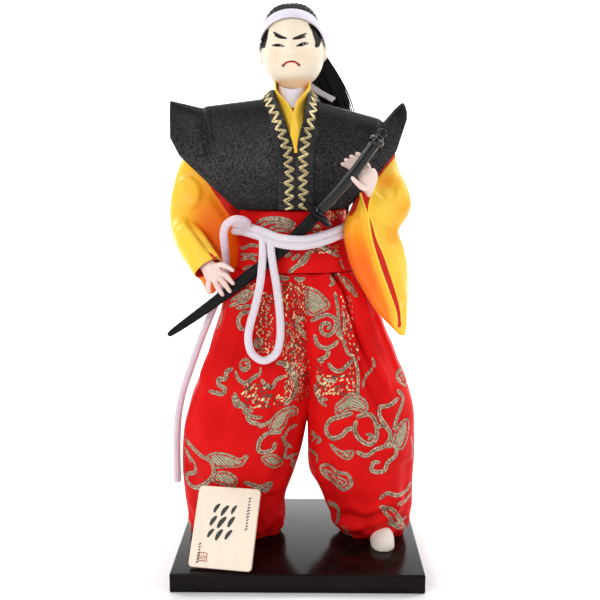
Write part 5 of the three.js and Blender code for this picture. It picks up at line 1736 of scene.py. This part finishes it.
def turned_on_sword(bm, rows, nu, nv, power=2.0):
    """A closed form along the sword: rows of share of the length, half width and half thickness."""
    rows = np.array(rows, float)

    def place(u, v):
        t, wide, thick = along_path(rows, v).T
        points, _, deep, side = sword_frames(t)
        a = u * TAU
        aside = points + side * (wide * power_cos(a, power))[:, None]
        return aside + deep * (thick * power_sin(a, power))[:, None]

    grid(bm, nu, nv, place)


def make_sword():
    bm = new_bmesh()
    rows = [(0.0, 0.05, 0.05)]
    for s in (np.arange(61) / 60) ** 1.3:
        taper = float(smooth_table(SHEATH_TAPER, s)[0])
        rows.append((s * (GUARD_AT - 0.008), taper * 3.0, max(taper, 0.34) * 2.2))
    turned_on_sword(bm, rows, 36, 120, 2.4)
    weld(bm)
    piece(bm, "sword_sheath_lacquered", "sheath", ["sword_sheath"])
    bm = new_bmesh()
    start = GUARD_AT + 0.018
    turned_on_sword(bm, [(start, 2.72, 2.3), (0.972, 2.72, 2.3)], 32, 64, 2.6)
    collar = [(GUARD_AT, 3.4, 2.9), (GUARD_AT + 0.002, 3.6, 3.0)]
    collar += [(GUARD_AT + 0.016, 3.5, 2.95), (start, 3.2, 2.7)]
    turned_on_sword(bm, collar, 40, 12)
    before = len(bm.faces)
    turned_on_sword(bm, [(GUARD_AT + t, 9.3 * wide, 6 * wide) for wide, t in GUARD_EDGE], 64, 14, 2.2)
    bm.faces.ensure_lookup_table()
    for face in bm.faces[before:]:
        face.material_index = 1
    turned_on_sword(bm, POMMEL, 40, 12)
    turned_on_sword(bm, [(0.986, 2.5, 2.1), (0.994, 2.4, 2), (0.999, 2.1, 1.8)], 32, 8, 2.6)
    end = SWORD_CURVE[-1]

    def ring(u, v):
        a, b = u * TAU, v * TAU
        x = (1.9 + 0.42 * np.cos(b)) * power_cos(a, 3)
        z = (1.9 + 0.42 * np.cos(b)) * power_sin(a, 3)
        c, s = math.cos(0.35), math.sin(0.35)
        place_x, place_z = end[0] + 0.7 + x * c - z * s, end[2] + 1.1 + x * s + z * c
        return columns(place_x, end[1] + 0.42 * np.sin(b), place_z)

    grid(bm, 40, 16, ring)
    weld(bm)
    piece(bm, "sword_hilt_lacquered", ("sword", "sheath"), ["sword_hilt"])


# Hands: a flat palm from the wrist, and fingers with two bends each

FINGER = [
    (0, 1.45, 1.45), (0.35, 1.4, 1.35), (0.5, 1.5, 1.42), (0.62, 1.3, 1.25), (0.9, 1.05, 0.98),
    (0.97, 0.7, 0.62), (1, 0.2, 0.2),
]
HAND_RIGHT = {
    "palm": [(-50.2, -16.1, 166.5), (-45.6, -20.8, 162.4), (-42, -22.8, 157.2)],
    "sizes": [(0, 3.4, 2.8), (0.5, 4.2, 3), (0.85, 5, 2.4), (0.97, 4.4, 2.0), (1, 3.6, 1.4)],
    "flat": (0, -1, 0.2),
    "fingers": [
        [(-43.4, -21.4, 163.8), (-39, -23, 164.4), (-35.6, -23.4, 163), (-32.8, -22.6, 161)],
        [(-41, -22.6, 159.8), (-37.6, -23.8, 159.4), (-35.2, -24, 157), (-32.8, -22.6, 154)],
        [(-42, -22.6, 158.2), (-39.8, -24, 157), (-37.2, -24.2, 154), (-34.6, -22.6, 149.8)],
        [(-43.4, -22.6, 157.6), (-42.2, -24, 154.8), (-40.4, -24, 151.6), (-38.6, -21.8, 148)],
        [(-45.4, -22, 158.4), (-46, -23.4, 155.2), (-46, -23, 152.4), (-45.4, -21, 149.2)],
    ],
}
HAND_LEFT = {
    "palm": [(35.7, -26.2, 199.6), (35.6, -27.6, 202.4), (35.2, -29.6, 207.6), (34.2, -30, 213)],
    "sizes": [(0, 0.7, 1.2), (0.25, 2.6, 2.2), (0.7, 5.2, 2.4), (0.96, 4.4, 2.0), (1, 3.6, 1.4)],
    "flat": (0.2, -1, 0.3),
    "fingers": [
        [(34.8, -28.4, 204.2), (32.8, -32.8, 203.8), (29.6, -37, 206), (26.2, -38.6, 209.6)],
        [(35.4, -29, 213.4), (33, -28, 217.4), (30.6, -28.4, 220), (28.6, -29.8, 221)],
        [(34, -29, 212.6), (31, -27.6, 216), (28, -28, 218.6), (25.6, -29.4, 219.6)],
        [(33, -29, 211.2), (29.4, -27.4, 214.2), (26, -27.6, 216.8), (23, -29, 217.9)],
        [(32.4, -29, 209.4), (28.4, -27, 212.4), (24.6, -27.2, 214.8), (21.4, -28.6, 215.8)],
    ],
}


def make_hand(name, hand):
    bm = new_bmesh()
    limb(bm, hand["palm"], hand["sizes"], hand["flat"], 28, 40)
    for path in hand["fingers"]:
        limb(bm, path, FINGER, hand["flat"], 16, 40)
    weld(bm)
    bm = remeshed(bm, 0.26, 3)
    piece(bm, name + "_smooth", "hand", [name])


# Feet

FEET = {"foot_right": (-37, -4, 1.0), "foot_left": (46, -5, 0.9)}
FOOT_ROWS = [(0, 2.2, 3), (0.1, 5, 6.4), (0.3, 6.8, 9.8), (0.6, 7.2, 11.8), (1, 6.8, 12.2)]


def make_foot(name, x0, y0, scale):
    """The rounded tip of a shoe: an arch over a flat sole."""

    def place(u, v):
        share = v**1.6
        half, high = smooth_table(FOOT_ROWS, share) * scale
        shrink = smoothstep(v, 0, 0.04) * 0.999 + 0.001
        a = u * TAU
        back = np.clip((a - np.pi) / np.pi, 0, 1)
        x = np.where(a < np.pi, -half * np.cos(a), half - 2 * half * back) * shrink
        z = np.where(a < np.pi, high * np.abs(np.sin(a)) ** 0.8 * shrink, 0)
        return columns(x0 + x, y0 - 20 * (1 - share), FLOOR_Z - 0.1 + z)

    piece(shell(72, 40, place), name + "_cloth", "sock", [name])


# Brocade: bands of thread, filled leaves and gold flecks that lie on the cloth

BAND_LIFT, LEAF_LIFT, EDGE_LIFT, FLECK_LIFT = 0.14, 0.12, 0.2, 0.16
WIDEST_JUMP = 0.012
WIDEST_FACE = 0.006
# The drawing on the back: its middle and first row in the view, and what they measure on the doll
BACK = {"middle": 300, "row": 171, "height": 215.7, "wide": 0.52, "high": 0.53, "mirror": 590}


class Cloth:
    """What brocade threads are laid on, and how a drawn point finds its place on it."""

    def __init__(self, objects):
        verts, faces = [], []
        for obj in objects:
            start = len(verts)
            verts += [v.co.copy() for v in obj.data.vertices]
            faces += [[start + i for i in p.vertices] for p in obj.data.polygons]
        self.tree = BVHTree.FromPolygons(verts, faces)

    def front(self, px, py):
        """The place on the cloth that shows at a pixel of the view."""
        return self.tree.ray_cast(Vector(CAMERA_AT * MM), Vector(view_ray(px, py)))[:2]

    def behind(self, px, py):
        """The same drawing as seen from straight behind."""
        x = (px - BACK["middle"]) * BACK["wide"] * MM
        z = (BACK["height"] - (py - BACK["row"]) * BACK["high"]) * MM
        start = Vector((x, 0.4, z))
        return self.tree.ray_cast(start, Vector((0, -1, 0)))[:2]

    def nearest(self, point, lift):
        hit, normal, _, _ = self.tree.find_nearest(point)
        if (point - hit).dot(normal) < -0.002:
            normal = -normal
        return hit + normal * lift * MM


def lay_band(bm, cloth, finder, line, width, lift=BAND_LIFT):
    """A band of thread along a drawn line; its uv map has millimetres along and the share across."""
    smooth = spline(line, max(8, int(path_length(np.array(line, float)) * 0.62)))
    centres, normals = [], []
    for px, py in smooth:
        hit, normal = finder(px, py)
        if hit is None:
            continue
        if centres and (hit - centres[-1]).length > WIDEST_JUMP:
            break
        centres.append(hit)
        normals.append(normal)
    if len(centres) < 3:
        return
    centres = np.array(centres)
    normals = np.array(normals)
    ahead = tangents(centres)
    side = unit(np.cross(normals, ahead))
    length = np.concatenate([[0], np.cumsum(np.linalg.norm(np.diff(centres, axis=0), axis=1))]) / MM
    rows = len(centres) - 1
    made = bmesh.ops.create_grid(bm, x_segments=rows, y_segments=2, size=0.5, calc_uvs=True)["verts"]
    for vert in made:
        k = int(round((vert.co.x + 0.5) * rows))
        ends = min(1.0, 0.35 + 0.4 * min(k, rows - k))
        point = centres[k] + side[k] * vert.co.y * width * ends * MM
        vert.co = cloth.nearest(Vector(point), lift)
    layer = bm.loops.layers.uv.active
    for face in {f for v in made for f in v.link_faces}:
        for loop in face.loops:
            u, v = loop[layer].uv
            loop[layer].uv = (length[int(round(u * rows))], v)


def lay_leaf(bm, cloth, finder, shape):
    """A filled motif: a grid over the drawn outline, kept where it is inside."""
    shape = [tuple(p) for p in spline(shape + shape[:1], 4 * len(shape))][:-1]
    xs, ys = [p[0] for p in shape], [p[1] for p in shape]
    nu, nv = max(3, int((max(xs) - min(xs)) / 1.1)), max(3, int((max(ys) - min(ys)) / 1.1))
    made = bmesh.ops.create_grid(bm, x_segments=nu, y_segments=nv, size=0.5, calc_uvs=True)["verts"]
    faces = {f for v in made for f in v.link_faces}
    drawn = {}
    for vert in made:
        px = min(xs) + (vert.co.x + 0.5) * (max(xs) - min(xs))
        py = min(ys) + (vert.co.y + 0.5) * (max(ys) - min(ys))
        drawn[vert] = (px, py)
    lost = set()
    for vert, (px, py) in drawn.items():
        hit = finder(px, py)[0]
        if hit is None or not inside_shape(px, py, shape):
            lost.add(vert)
        else:
            vert.co = cloth.nearest(hit, LEAF_LIFT)
    for face in faces:
        face.material_index = 1
        spread = max((a.co - b.co).length for a in face.verts for b in face.verts)
        if spread > WIDEST_FACE:
            lost.update(face.verts)
    bmesh.ops.delete(bm, geom=list(lost), context="VERTS")


def lay_fleck(bm, finder, px, py, length, width, slant, material):
    """One short bright stitch."""
    hit, normal = finder(px, py)
    if hit is None:
        return
    along = Vector((math.cos(slant), 0, math.sin(slant)))
    along = (along - normal * along.dot(normal)).normalized()
    side = normal.cross(along)
    made = bmesh.ops.create_grid(bm, x_segments=1, y_segments=1, size=0.5)["verts"]
    for vert in made:
        point = hit + along * vert.co.x * length * MM + side * vert.co.y * width * MM
        vert.co = point + normal * FLECK_LIFT * MM
    for face in {f for v in made for f in v.link_faces}:
        face.material_index = material


def spiral(x, y, radius, turns, start, way):
    """A drawn curl that winds in to its middle."""
    count = int(10 * turns)
    line = []
    for i in range(count + 1):
        a = math.radians(start) + way * TAU * turns * i / count
        r = radius * (1 - 0.8 * i / count)
        line += [x + r * math.cos(a), y + r * math.sin(a)]
    return line


def to_view(flat, drawing):
    """Points given as x, y, x, y of a drawing, as pixels of the view."""
    left, top, scale = drawing
    return [(left + x / scale, top + y / scale) for x, y in zip(flat[::2], flat[1::2])]


# Two drawings of the motifs: where each starts in the view, and how much larger than the view it is.
# A band is its width and the points of its line, a leaf is the points of its outline.
UPPER = (150, 190, 7.467)
LOWER = (150, 340, 5.227)
UPPER_BANDS = [
    (1.5, 795, 250, 850, 220, 930, 210, 1010, 220, 1090, 260),
    (1.3, 830, 268, 900, 242, 980, 240, 1050, 264, 1078, 292),
    (1.2, 880, 296, 950, 268, 1020, 276, 1060, 302), (1.2, 905, 322, 970, 300, 1040, 312),
    (1.5, 670, 425, 700, 435, 750, 412, 812, 420), (1.4, 675, 480, 735, 486, 805, 482),
    (1.6, 680, 524, 740, 502, 800, 530), (1.3, 690, 596, 740, 572, 790, 578),
    (1.6, 1010, 502, 1060, 468), (1.6, 1060, 524, 1118, 478), (1.8, 1098, 566, 1150, 506, 1204, 452),
    (1.8, 1030, 622, 1090, 572, 1150, 540, 1192, 470),
    (1.6, 1200, 432, 1262, 420, 1340, 462, 1420, 500), (2.0, 958, 640, 1000, 660, 1042, 655),
    (2.0, 1078, 650, 1120, 672, 1157, 655),
    (1.7, 1160, 958, 1106, 966, 1100, 1020, 1140, 1060, 1172, 1120),
    (1.7, 1200, 980, 1262, 950, 1330, 932, 1385, 970, 1380, 1040, 1330, 1085, 1282, 1060, 1280, 1012,
        1320, 992, 1345, 1020, 1320, 1042), (1.6, 1340, 722, 1372, 682, 1350, 650, 1392, 620),
    (2.4, 1400, 622, 1450, 682, 1500, 742, 1550, 800),
    (1.3, 1380, 760, 1398, 860, 1410, 1000, 1430, 1100),
    (1.8, 1228, 1078, 1250, 1150, 1310, 1182, 1370, 1160, 1410, 1120),
    (1.8, 1334, 1182, 1322, 1240, 1262, 1270, 1300, 1284),
    (1.8, 1330, 1290, 1370, 1340, 1420, 1352, 1472, 1312, 1512, 1268),
    (1.3, 1440, 1120, 1480, 1220, 1520, 1250, 1550, 1350, 1552, 1560),
    (1.5, 600, 830, 680, 782, 752, 742), (1.5, 590, 872, 680, 832, 742, 800),
    (1.5, 640, 884, 700, 872, 762, 860), (1.8, 742, 908, 690, 920, 660, 970, 670, 1022, 702, 1050),
    (1.9, 620, 1330, 572, 1360, 560, 1410, 512, 1412, 520, 1460, 560, 1482, 540, 1522, 482, 1512, 440,
        1500), (1.8, 640, 1350, 660, 1410, 710, 1442, 762, 1410, 820, 1370),
    (1.8, 830, 1412, 870, 1460, 912, 1472, 942, 1420, 1000, 1390),
    (2.2, 940, 1290, 1012, 1302, 1060, 1370, 1090, 1440, 1080, 1530),
    (1.2, 1160, 760, 1176, 860, 1168, 940), (1.3, 540, 900, 530, 980, 500, 1040),
    (1.3, 690, 1262, 672, 1310, 690, 1345, 730, 1340, 740, 1300, 712, 1290),
    (1.1, 825, 1320, 822, 1370, 760, 1420), (1.2, 1010, 1040, 1060, 1090, 1050, 1150),
    (1.2, 1380, 1040, 1412, 1090, 1470, 1140), (1.3, 1290, 1400, 1330, 1420, 1380, 1405),
    (1.1, 1440, 900, 1452, 980, 1450, 1060), (1.1, 1420, 520, 1432, 560, 1450, 590),
    (1.1, 960, 1000, 1000, 990, 1040, 1010),
]
LOWER_BANDS = [
    (1.6, 440, 272, 470, 330, 505, 350), (1.6, 452, 322, 500, 362, 540, 372),
    (1.6, 482, 372, 542, 402, 590, 404), (1.6, 522, 422, 592, 442, 630, 420),
    (2.2, 690, 120, 740, 160, 760, 220, 752, 290, 700, 340),
    (1.9, 690, 480, 612, 490, 572, 530, 572, 582, 642, 572, 655, 530),
    (1.8, 770, 440, 722, 470, 702, 530, 742, 562), (1.8, 690, 500, 712, 560, 702, 612, 772, 592),
    (1.6, 738, 600, 752, 665, 734, 640),
    (1.9, 188, 520, 222, 560, 262, 600, 322, 640, 332, 700, 300, 742, 240, 772, 200, 742, 195, 702, 236,
        690, 236, 650, 200, 600, 186, 570), (2.2, 490, 742, 550, 762, 610, 790),
    (2.0, 560, 772, 632, 750, 600, 800), (1.6, 872, 272, 892, 322, 924, 346),
    (1.5, 862, 232, 880, 300, 930, 312),
    (1.9, 1062, 380, 1000, 400, 942, 420, 920, 470, 950, 512, 1002, 500, 1032, 468, 1070, 462),
    (1.9, 1078, 402, 1150, 390, 1182, 440, 1182, 512, 1150, 545, 1100, 522, 1070, 470, 1080, 418),
    (1.5, 1128, 492, 1162, 500, 1140, 524),
    (1.9, 1182, 460, 1222, 445, 1256, 492, 1230, 552, 1180, 572, 1130, 604, 1078, 582),
    (1.9, 1272, 470, 1292, 400, 1312, 350, 1322, 300, 1290, 258),
    (1.9, 1300, 302, 1250, 342, 1202, 352, 1202, 402, 1240, 452),
    (1.9, 1240, 562, 1282, 540, 1284, 600, 1242, 642, 1222, 684, 1160, 682, 1170, 640, 1202, 640),
    (1.6, 890, 660, 932, 650, 982, 692, 1032, 702, 1052, 752, 1012, 782, 960, 742, 912, 702, 888, 664),
    (1.5, 842, 490, 892, 520, 870, 542), (1.5, 832, 570, 872, 602, 872, 642),
    (1.8, 1198, 832, 1240, 800, 1292, 812, 1342, 782, 1362, 740),
    (2.2, 1198, 872, 1262, 882, 1302, 932, 1332, 982), (1.8, 1292, 862, 1332, 842, 1362, 800),
    (1.8, 932, 842, 980, 872, 984, 932, 960, 972, 942, 930), (1.6, 1002, 972, 1032, 1000, 1002, 1022),
    (1.7, 1302, 150, 1290, 200, 1332, 240), (1.2, 1162, 90, 1172, 130, 1122, 200, 1112, 250),
    (1.8, 1240, 960, 1290, 960, 1340, 920), (1.6, 200, 930, 214, 980, 208, 1020),
    (1.7, 430, 290, 450, 340, 480, 352), (1.7, 500, 398, 532, 432, 560, 440),
    (1.5, 556, 440, 580, 452, 612, 436), (1.5, 902, 196, 930, 214, 980, 202),
    (1.4, 930, 856, 968, 870, 992, 910), (1.6, 1246, 940, 1280, 972, 1330, 990),
    (1.5, 1204, 870, 1230, 902, 1262, 940, 1288, 982), (1.5, 560, 1030, 590, 1050, 622, 1030),
    (1.4, 1000, 1000, 1030, 1018, 1060, 1016), (1.3, 1362, 500, 1372, 560, 1366, 620),
    (1.5, 180, 560, 206, 600, 214, 640), (1.2, 842, 470, 868, 500, 846, 530),
]
UPPER_LEAVES = [
    (1172, 722, 1258, 762, 1340, 862, 1290, 902, 1202, 932, 1170, 880),
    (1440, 640, 1500, 700, 1530, 770, 1470, 730), (640, 800, 720, 750, 760, 770, 700, 840),
]
LOWER_LEAVES = [
    (620, 462, 640, 410, 700, 360, 762, 350, 770, 382, 722, 402, 702, 450, 650, 482),
    (580, 612, 650, 600, 690, 642, 650, 666, 600, 642),
    (300, 602, 350, 590, 420, 602, 470, 622, 510, 600, 480, 652, 400, 662, 340, 662),
    (340, 692, 400, 690, 450, 722, 440, 762, 380, 752, 330, 732),
    (970, 342, 1060, 280, 1132, 330, 1130, 372, 1050, 360, 980, 392),
    (940, 542, 1000, 582, 1062, 582, 1040, 622, 990, 602, 960, 572),
    (1280, 482, 1312, 430, 1346, 415, 1340, 520, 1310, 570, 1270, 552),
    (912, 672, 980, 712, 1030, 742, 1000, 762, 940, 722), (1290, 182, 1322, 150, 1340, 200, 1330, 240),
]
# Curls: middle, radius, turns, first angle and way round
CURLS = [(710, 1305, 45, 1.3, -30, -1), (815, 1140, 40, 1.4, 60, 1)]
# Gold flecks: left, top, right, bottom of each patch, its spacing, the slant and the size of its stitches
UPPER_FLECKS = [
    (955, 690, 1165, 1250, 21, 80, 1.0), (790, 760, 925, 1240, 21, 96, 1.0),
    (1000, 1250, 1195, 1568, 21, 70, 1.0), (1420, 790, 1510, 1120, 22, 100, 1.0),
    (1180, 255, 1290, 322, 16, 20, 1.0), (1310, 140, 1450, 225, 17, 60, 1.0),
    (1200, 415, 1410, 480, 19, 20, 1.1), (690, 690, 790, 800, 20, 60, 1.0),
    (1240, 1300, 1300, 1568, 24, 80, 1.0),
]
LOWER_FLECKS = [
    (480, 225, 650, 372, 19, 60, 1.5), (700, 20, 800, 330, 16, 76, 1.1),
    (872, 180, 1085, 290, 18, 40, 1.4), (1040, 10, 1100, 190, 16, 95, 1.0),
    (640, 290, 720, 360, 18, 30, 1.4),
]


def lay_flecks(bm, finder, patch, convert, seed):
    left, top, right, bottom, step, slant, big = patch
    rng = np.random.default_rng(seed)
    rows, cols = int((bottom - top) / step), int((right - left) / step)
    for i in range(rows):
        for j in range(cols):
            x = left + (j + 0.5 + 0.5 * (i % 2) + rng.uniform(-0.25, 0.25)) * step
            y = top + (i + 0.5 + rng.uniform(-0.25, 0.25)) * step
            if rng.random() < 0.12:
                continue
            ((px, py),) = convert((x, y))
            tilt = math.radians(slant + rng.uniform(-50, 50))
            kind = (2, 2, 0, 3, 1)[int(rng.integers(5))]
            length, width = big * rng.uniform(0.7, 1.9), big * rng.uniform(0.4, 0.85)
            lay_fleck(bm, finder, px, py, length, width, tilt, kind)


def lay_drawing(bm, cloth, finder, turn):
    """Lays every motif; turn moves the drawn points, to repeat the drawing elsewhere."""
    for seed, drawing, bands, leaves, flecks in (
        (0, UPPER, UPPER_BANDS, UPPER_LEAVES, UPPER_FLECKS),
        (50, LOWER, LOWER_BANDS, LOWER_LEAVES, LOWER_FLECKS),
    ):

        def convert(flat, drawing=drawing):
            return turn(to_view(flat, drawing))

        for width, *line in bands:
            lay_band(bm, cloth, finder, convert(line), 1.38 * width)
        for leaf in leaves:
            shape = convert(leaf)
            lay_leaf(bm, cloth, finder, shape)
            lay_band(bm, cloth, finder, shape + shape[:1], 1.3, EDGE_LIFT)
        for i, patch in enumerate(flecks):
            lay_flecks(bm, finder, patch, convert, seed + i)
    for curl in CURLS:
        lay_band(bm, cloth, finder, turn(to_view(spiral(*curl), UPPER)), 1.5)


def make_brocade(trousers, waistband):
    """The woven motifs of trousers and waistband, laid on the front and repeated behind."""
    cloth = Cloth([trousers, waistband])
    bm = new_bmesh()
    lay_drawing(bm, cloth, cloth.front, lambda points: points)
    lay_drawing(bm, cloth, cloth.behind, lambda points: [(BACK["mirror"] - x, y) for x, y in points])
    piece(bm, "brocade_threads", ("silver", "hatch", "gold", "dark"))


# Floor, light and world


def make_stage():
    bm = new_bmesh()

    def place(u, v):
        x = (u - 0.5) * 6000
        run, start, bend = v * 4200, 1900.0, 900.0
        past = np.clip((run - start) / (bend * np.pi / 2), 0, 1)
        a = past * np.pi / 2
        y = np.where(run < start, run, start + bend * np.sin(a)) - 1200
        z = np.where(run < start, 0, bend * (1 - np.cos(a))) + np.maximum(run - start - bend * np.pi / 2, 0)
        return columns(x, y, z)

    grid(bm, 8, 80, place)
    bmesh.ops.recalc_face_normals(bm, faces=bm.faces)
    mesh = bpy.data.meshes.new("floor")
    for face in bm.faces:
        face.smooth = True
    bm.to_mesh(mesh)
    bm.free()
    mesh.materials.append(Finish("pale floor", (0.92, 0.92, 0.92), 0.7).material)
    placed("floor", mesh)


def make_light(name, place, target, size, power):
    data = bpy.data.lights.new(name, "AREA")
    data.shape = "RECTANGLE"
    data.size, data.size_y = size
    data.energy = power
    light = placed(name, data)
    light.location = place
    light.rotation_mode = "QUATERNION"
    light.rotation_quaternion = (Vector(target) - Vector(place)).to_track_quat("-Z", "Y")


def make_lights():
    make_light("key softbox", (-0.62, -0.95, 0.72), (0, 0, 0.15), (0.55, 0.75), 7.5)
    make_light("fill softbox", (0.95, -0.6, 0.45), (0, 0, 0.15), (0.4, 0.9), 3.2)
    make_light("overhead softbox", (0.05, 0.15, 1.1), (0, 0, 0.1), (0.7, 0.5), 2.8)
    make_light("left backdrop light", (-1.0, 0.45, 1.0), (-0.3, 1.7, 0.5), (0.8, 0.8), 29)
    make_light("right backdrop light", (1.0, 0.45, 1.0), (0.3, 1.7, 0.5), (0.8, 0.8), 29)
    world = bpy.data.worlds.new("studio")
    bpy.context.scene.world = world
    world.use_nodes = True
    background = world.node_tree.nodes["Background"]
    background.inputs["Color"].default_value = (1, 1, 1, 1)
    background.inputs["Strength"].default_value = 0.31
    bpy.context.scene.view_settings.view_transform = "Standard"


make_camera()
make_free_rope("rope_loop", LOOP_PATH, "rope")
make_free_rope("rope_end", END_PATH, "rope end")
make_belt()
make_plinth()
make_tablet()
make_brush_marks()
trousers = make_trousers()
waistband = make_waistband()
make_brocade(trousers, waistband)
for name, (x, y, scale) in FEET.items():
    make_foot(name, x, y, scale)
make_head()
make_hair()
make_headband()
make_ponytail()
make_ribbons()
make_vest()
make_border(-1, "vest_border_right")
make_border(1, "vest_border_left")
make_collars()
make_under_collar()
make_robe()
make_sleeve_right()
make_sleeve_left()
make_sword()
make_hand("hand_right", HAND_RIGHT)
make_hand("hand_left", HAND_LEFT)
make_stage()
make_lights()
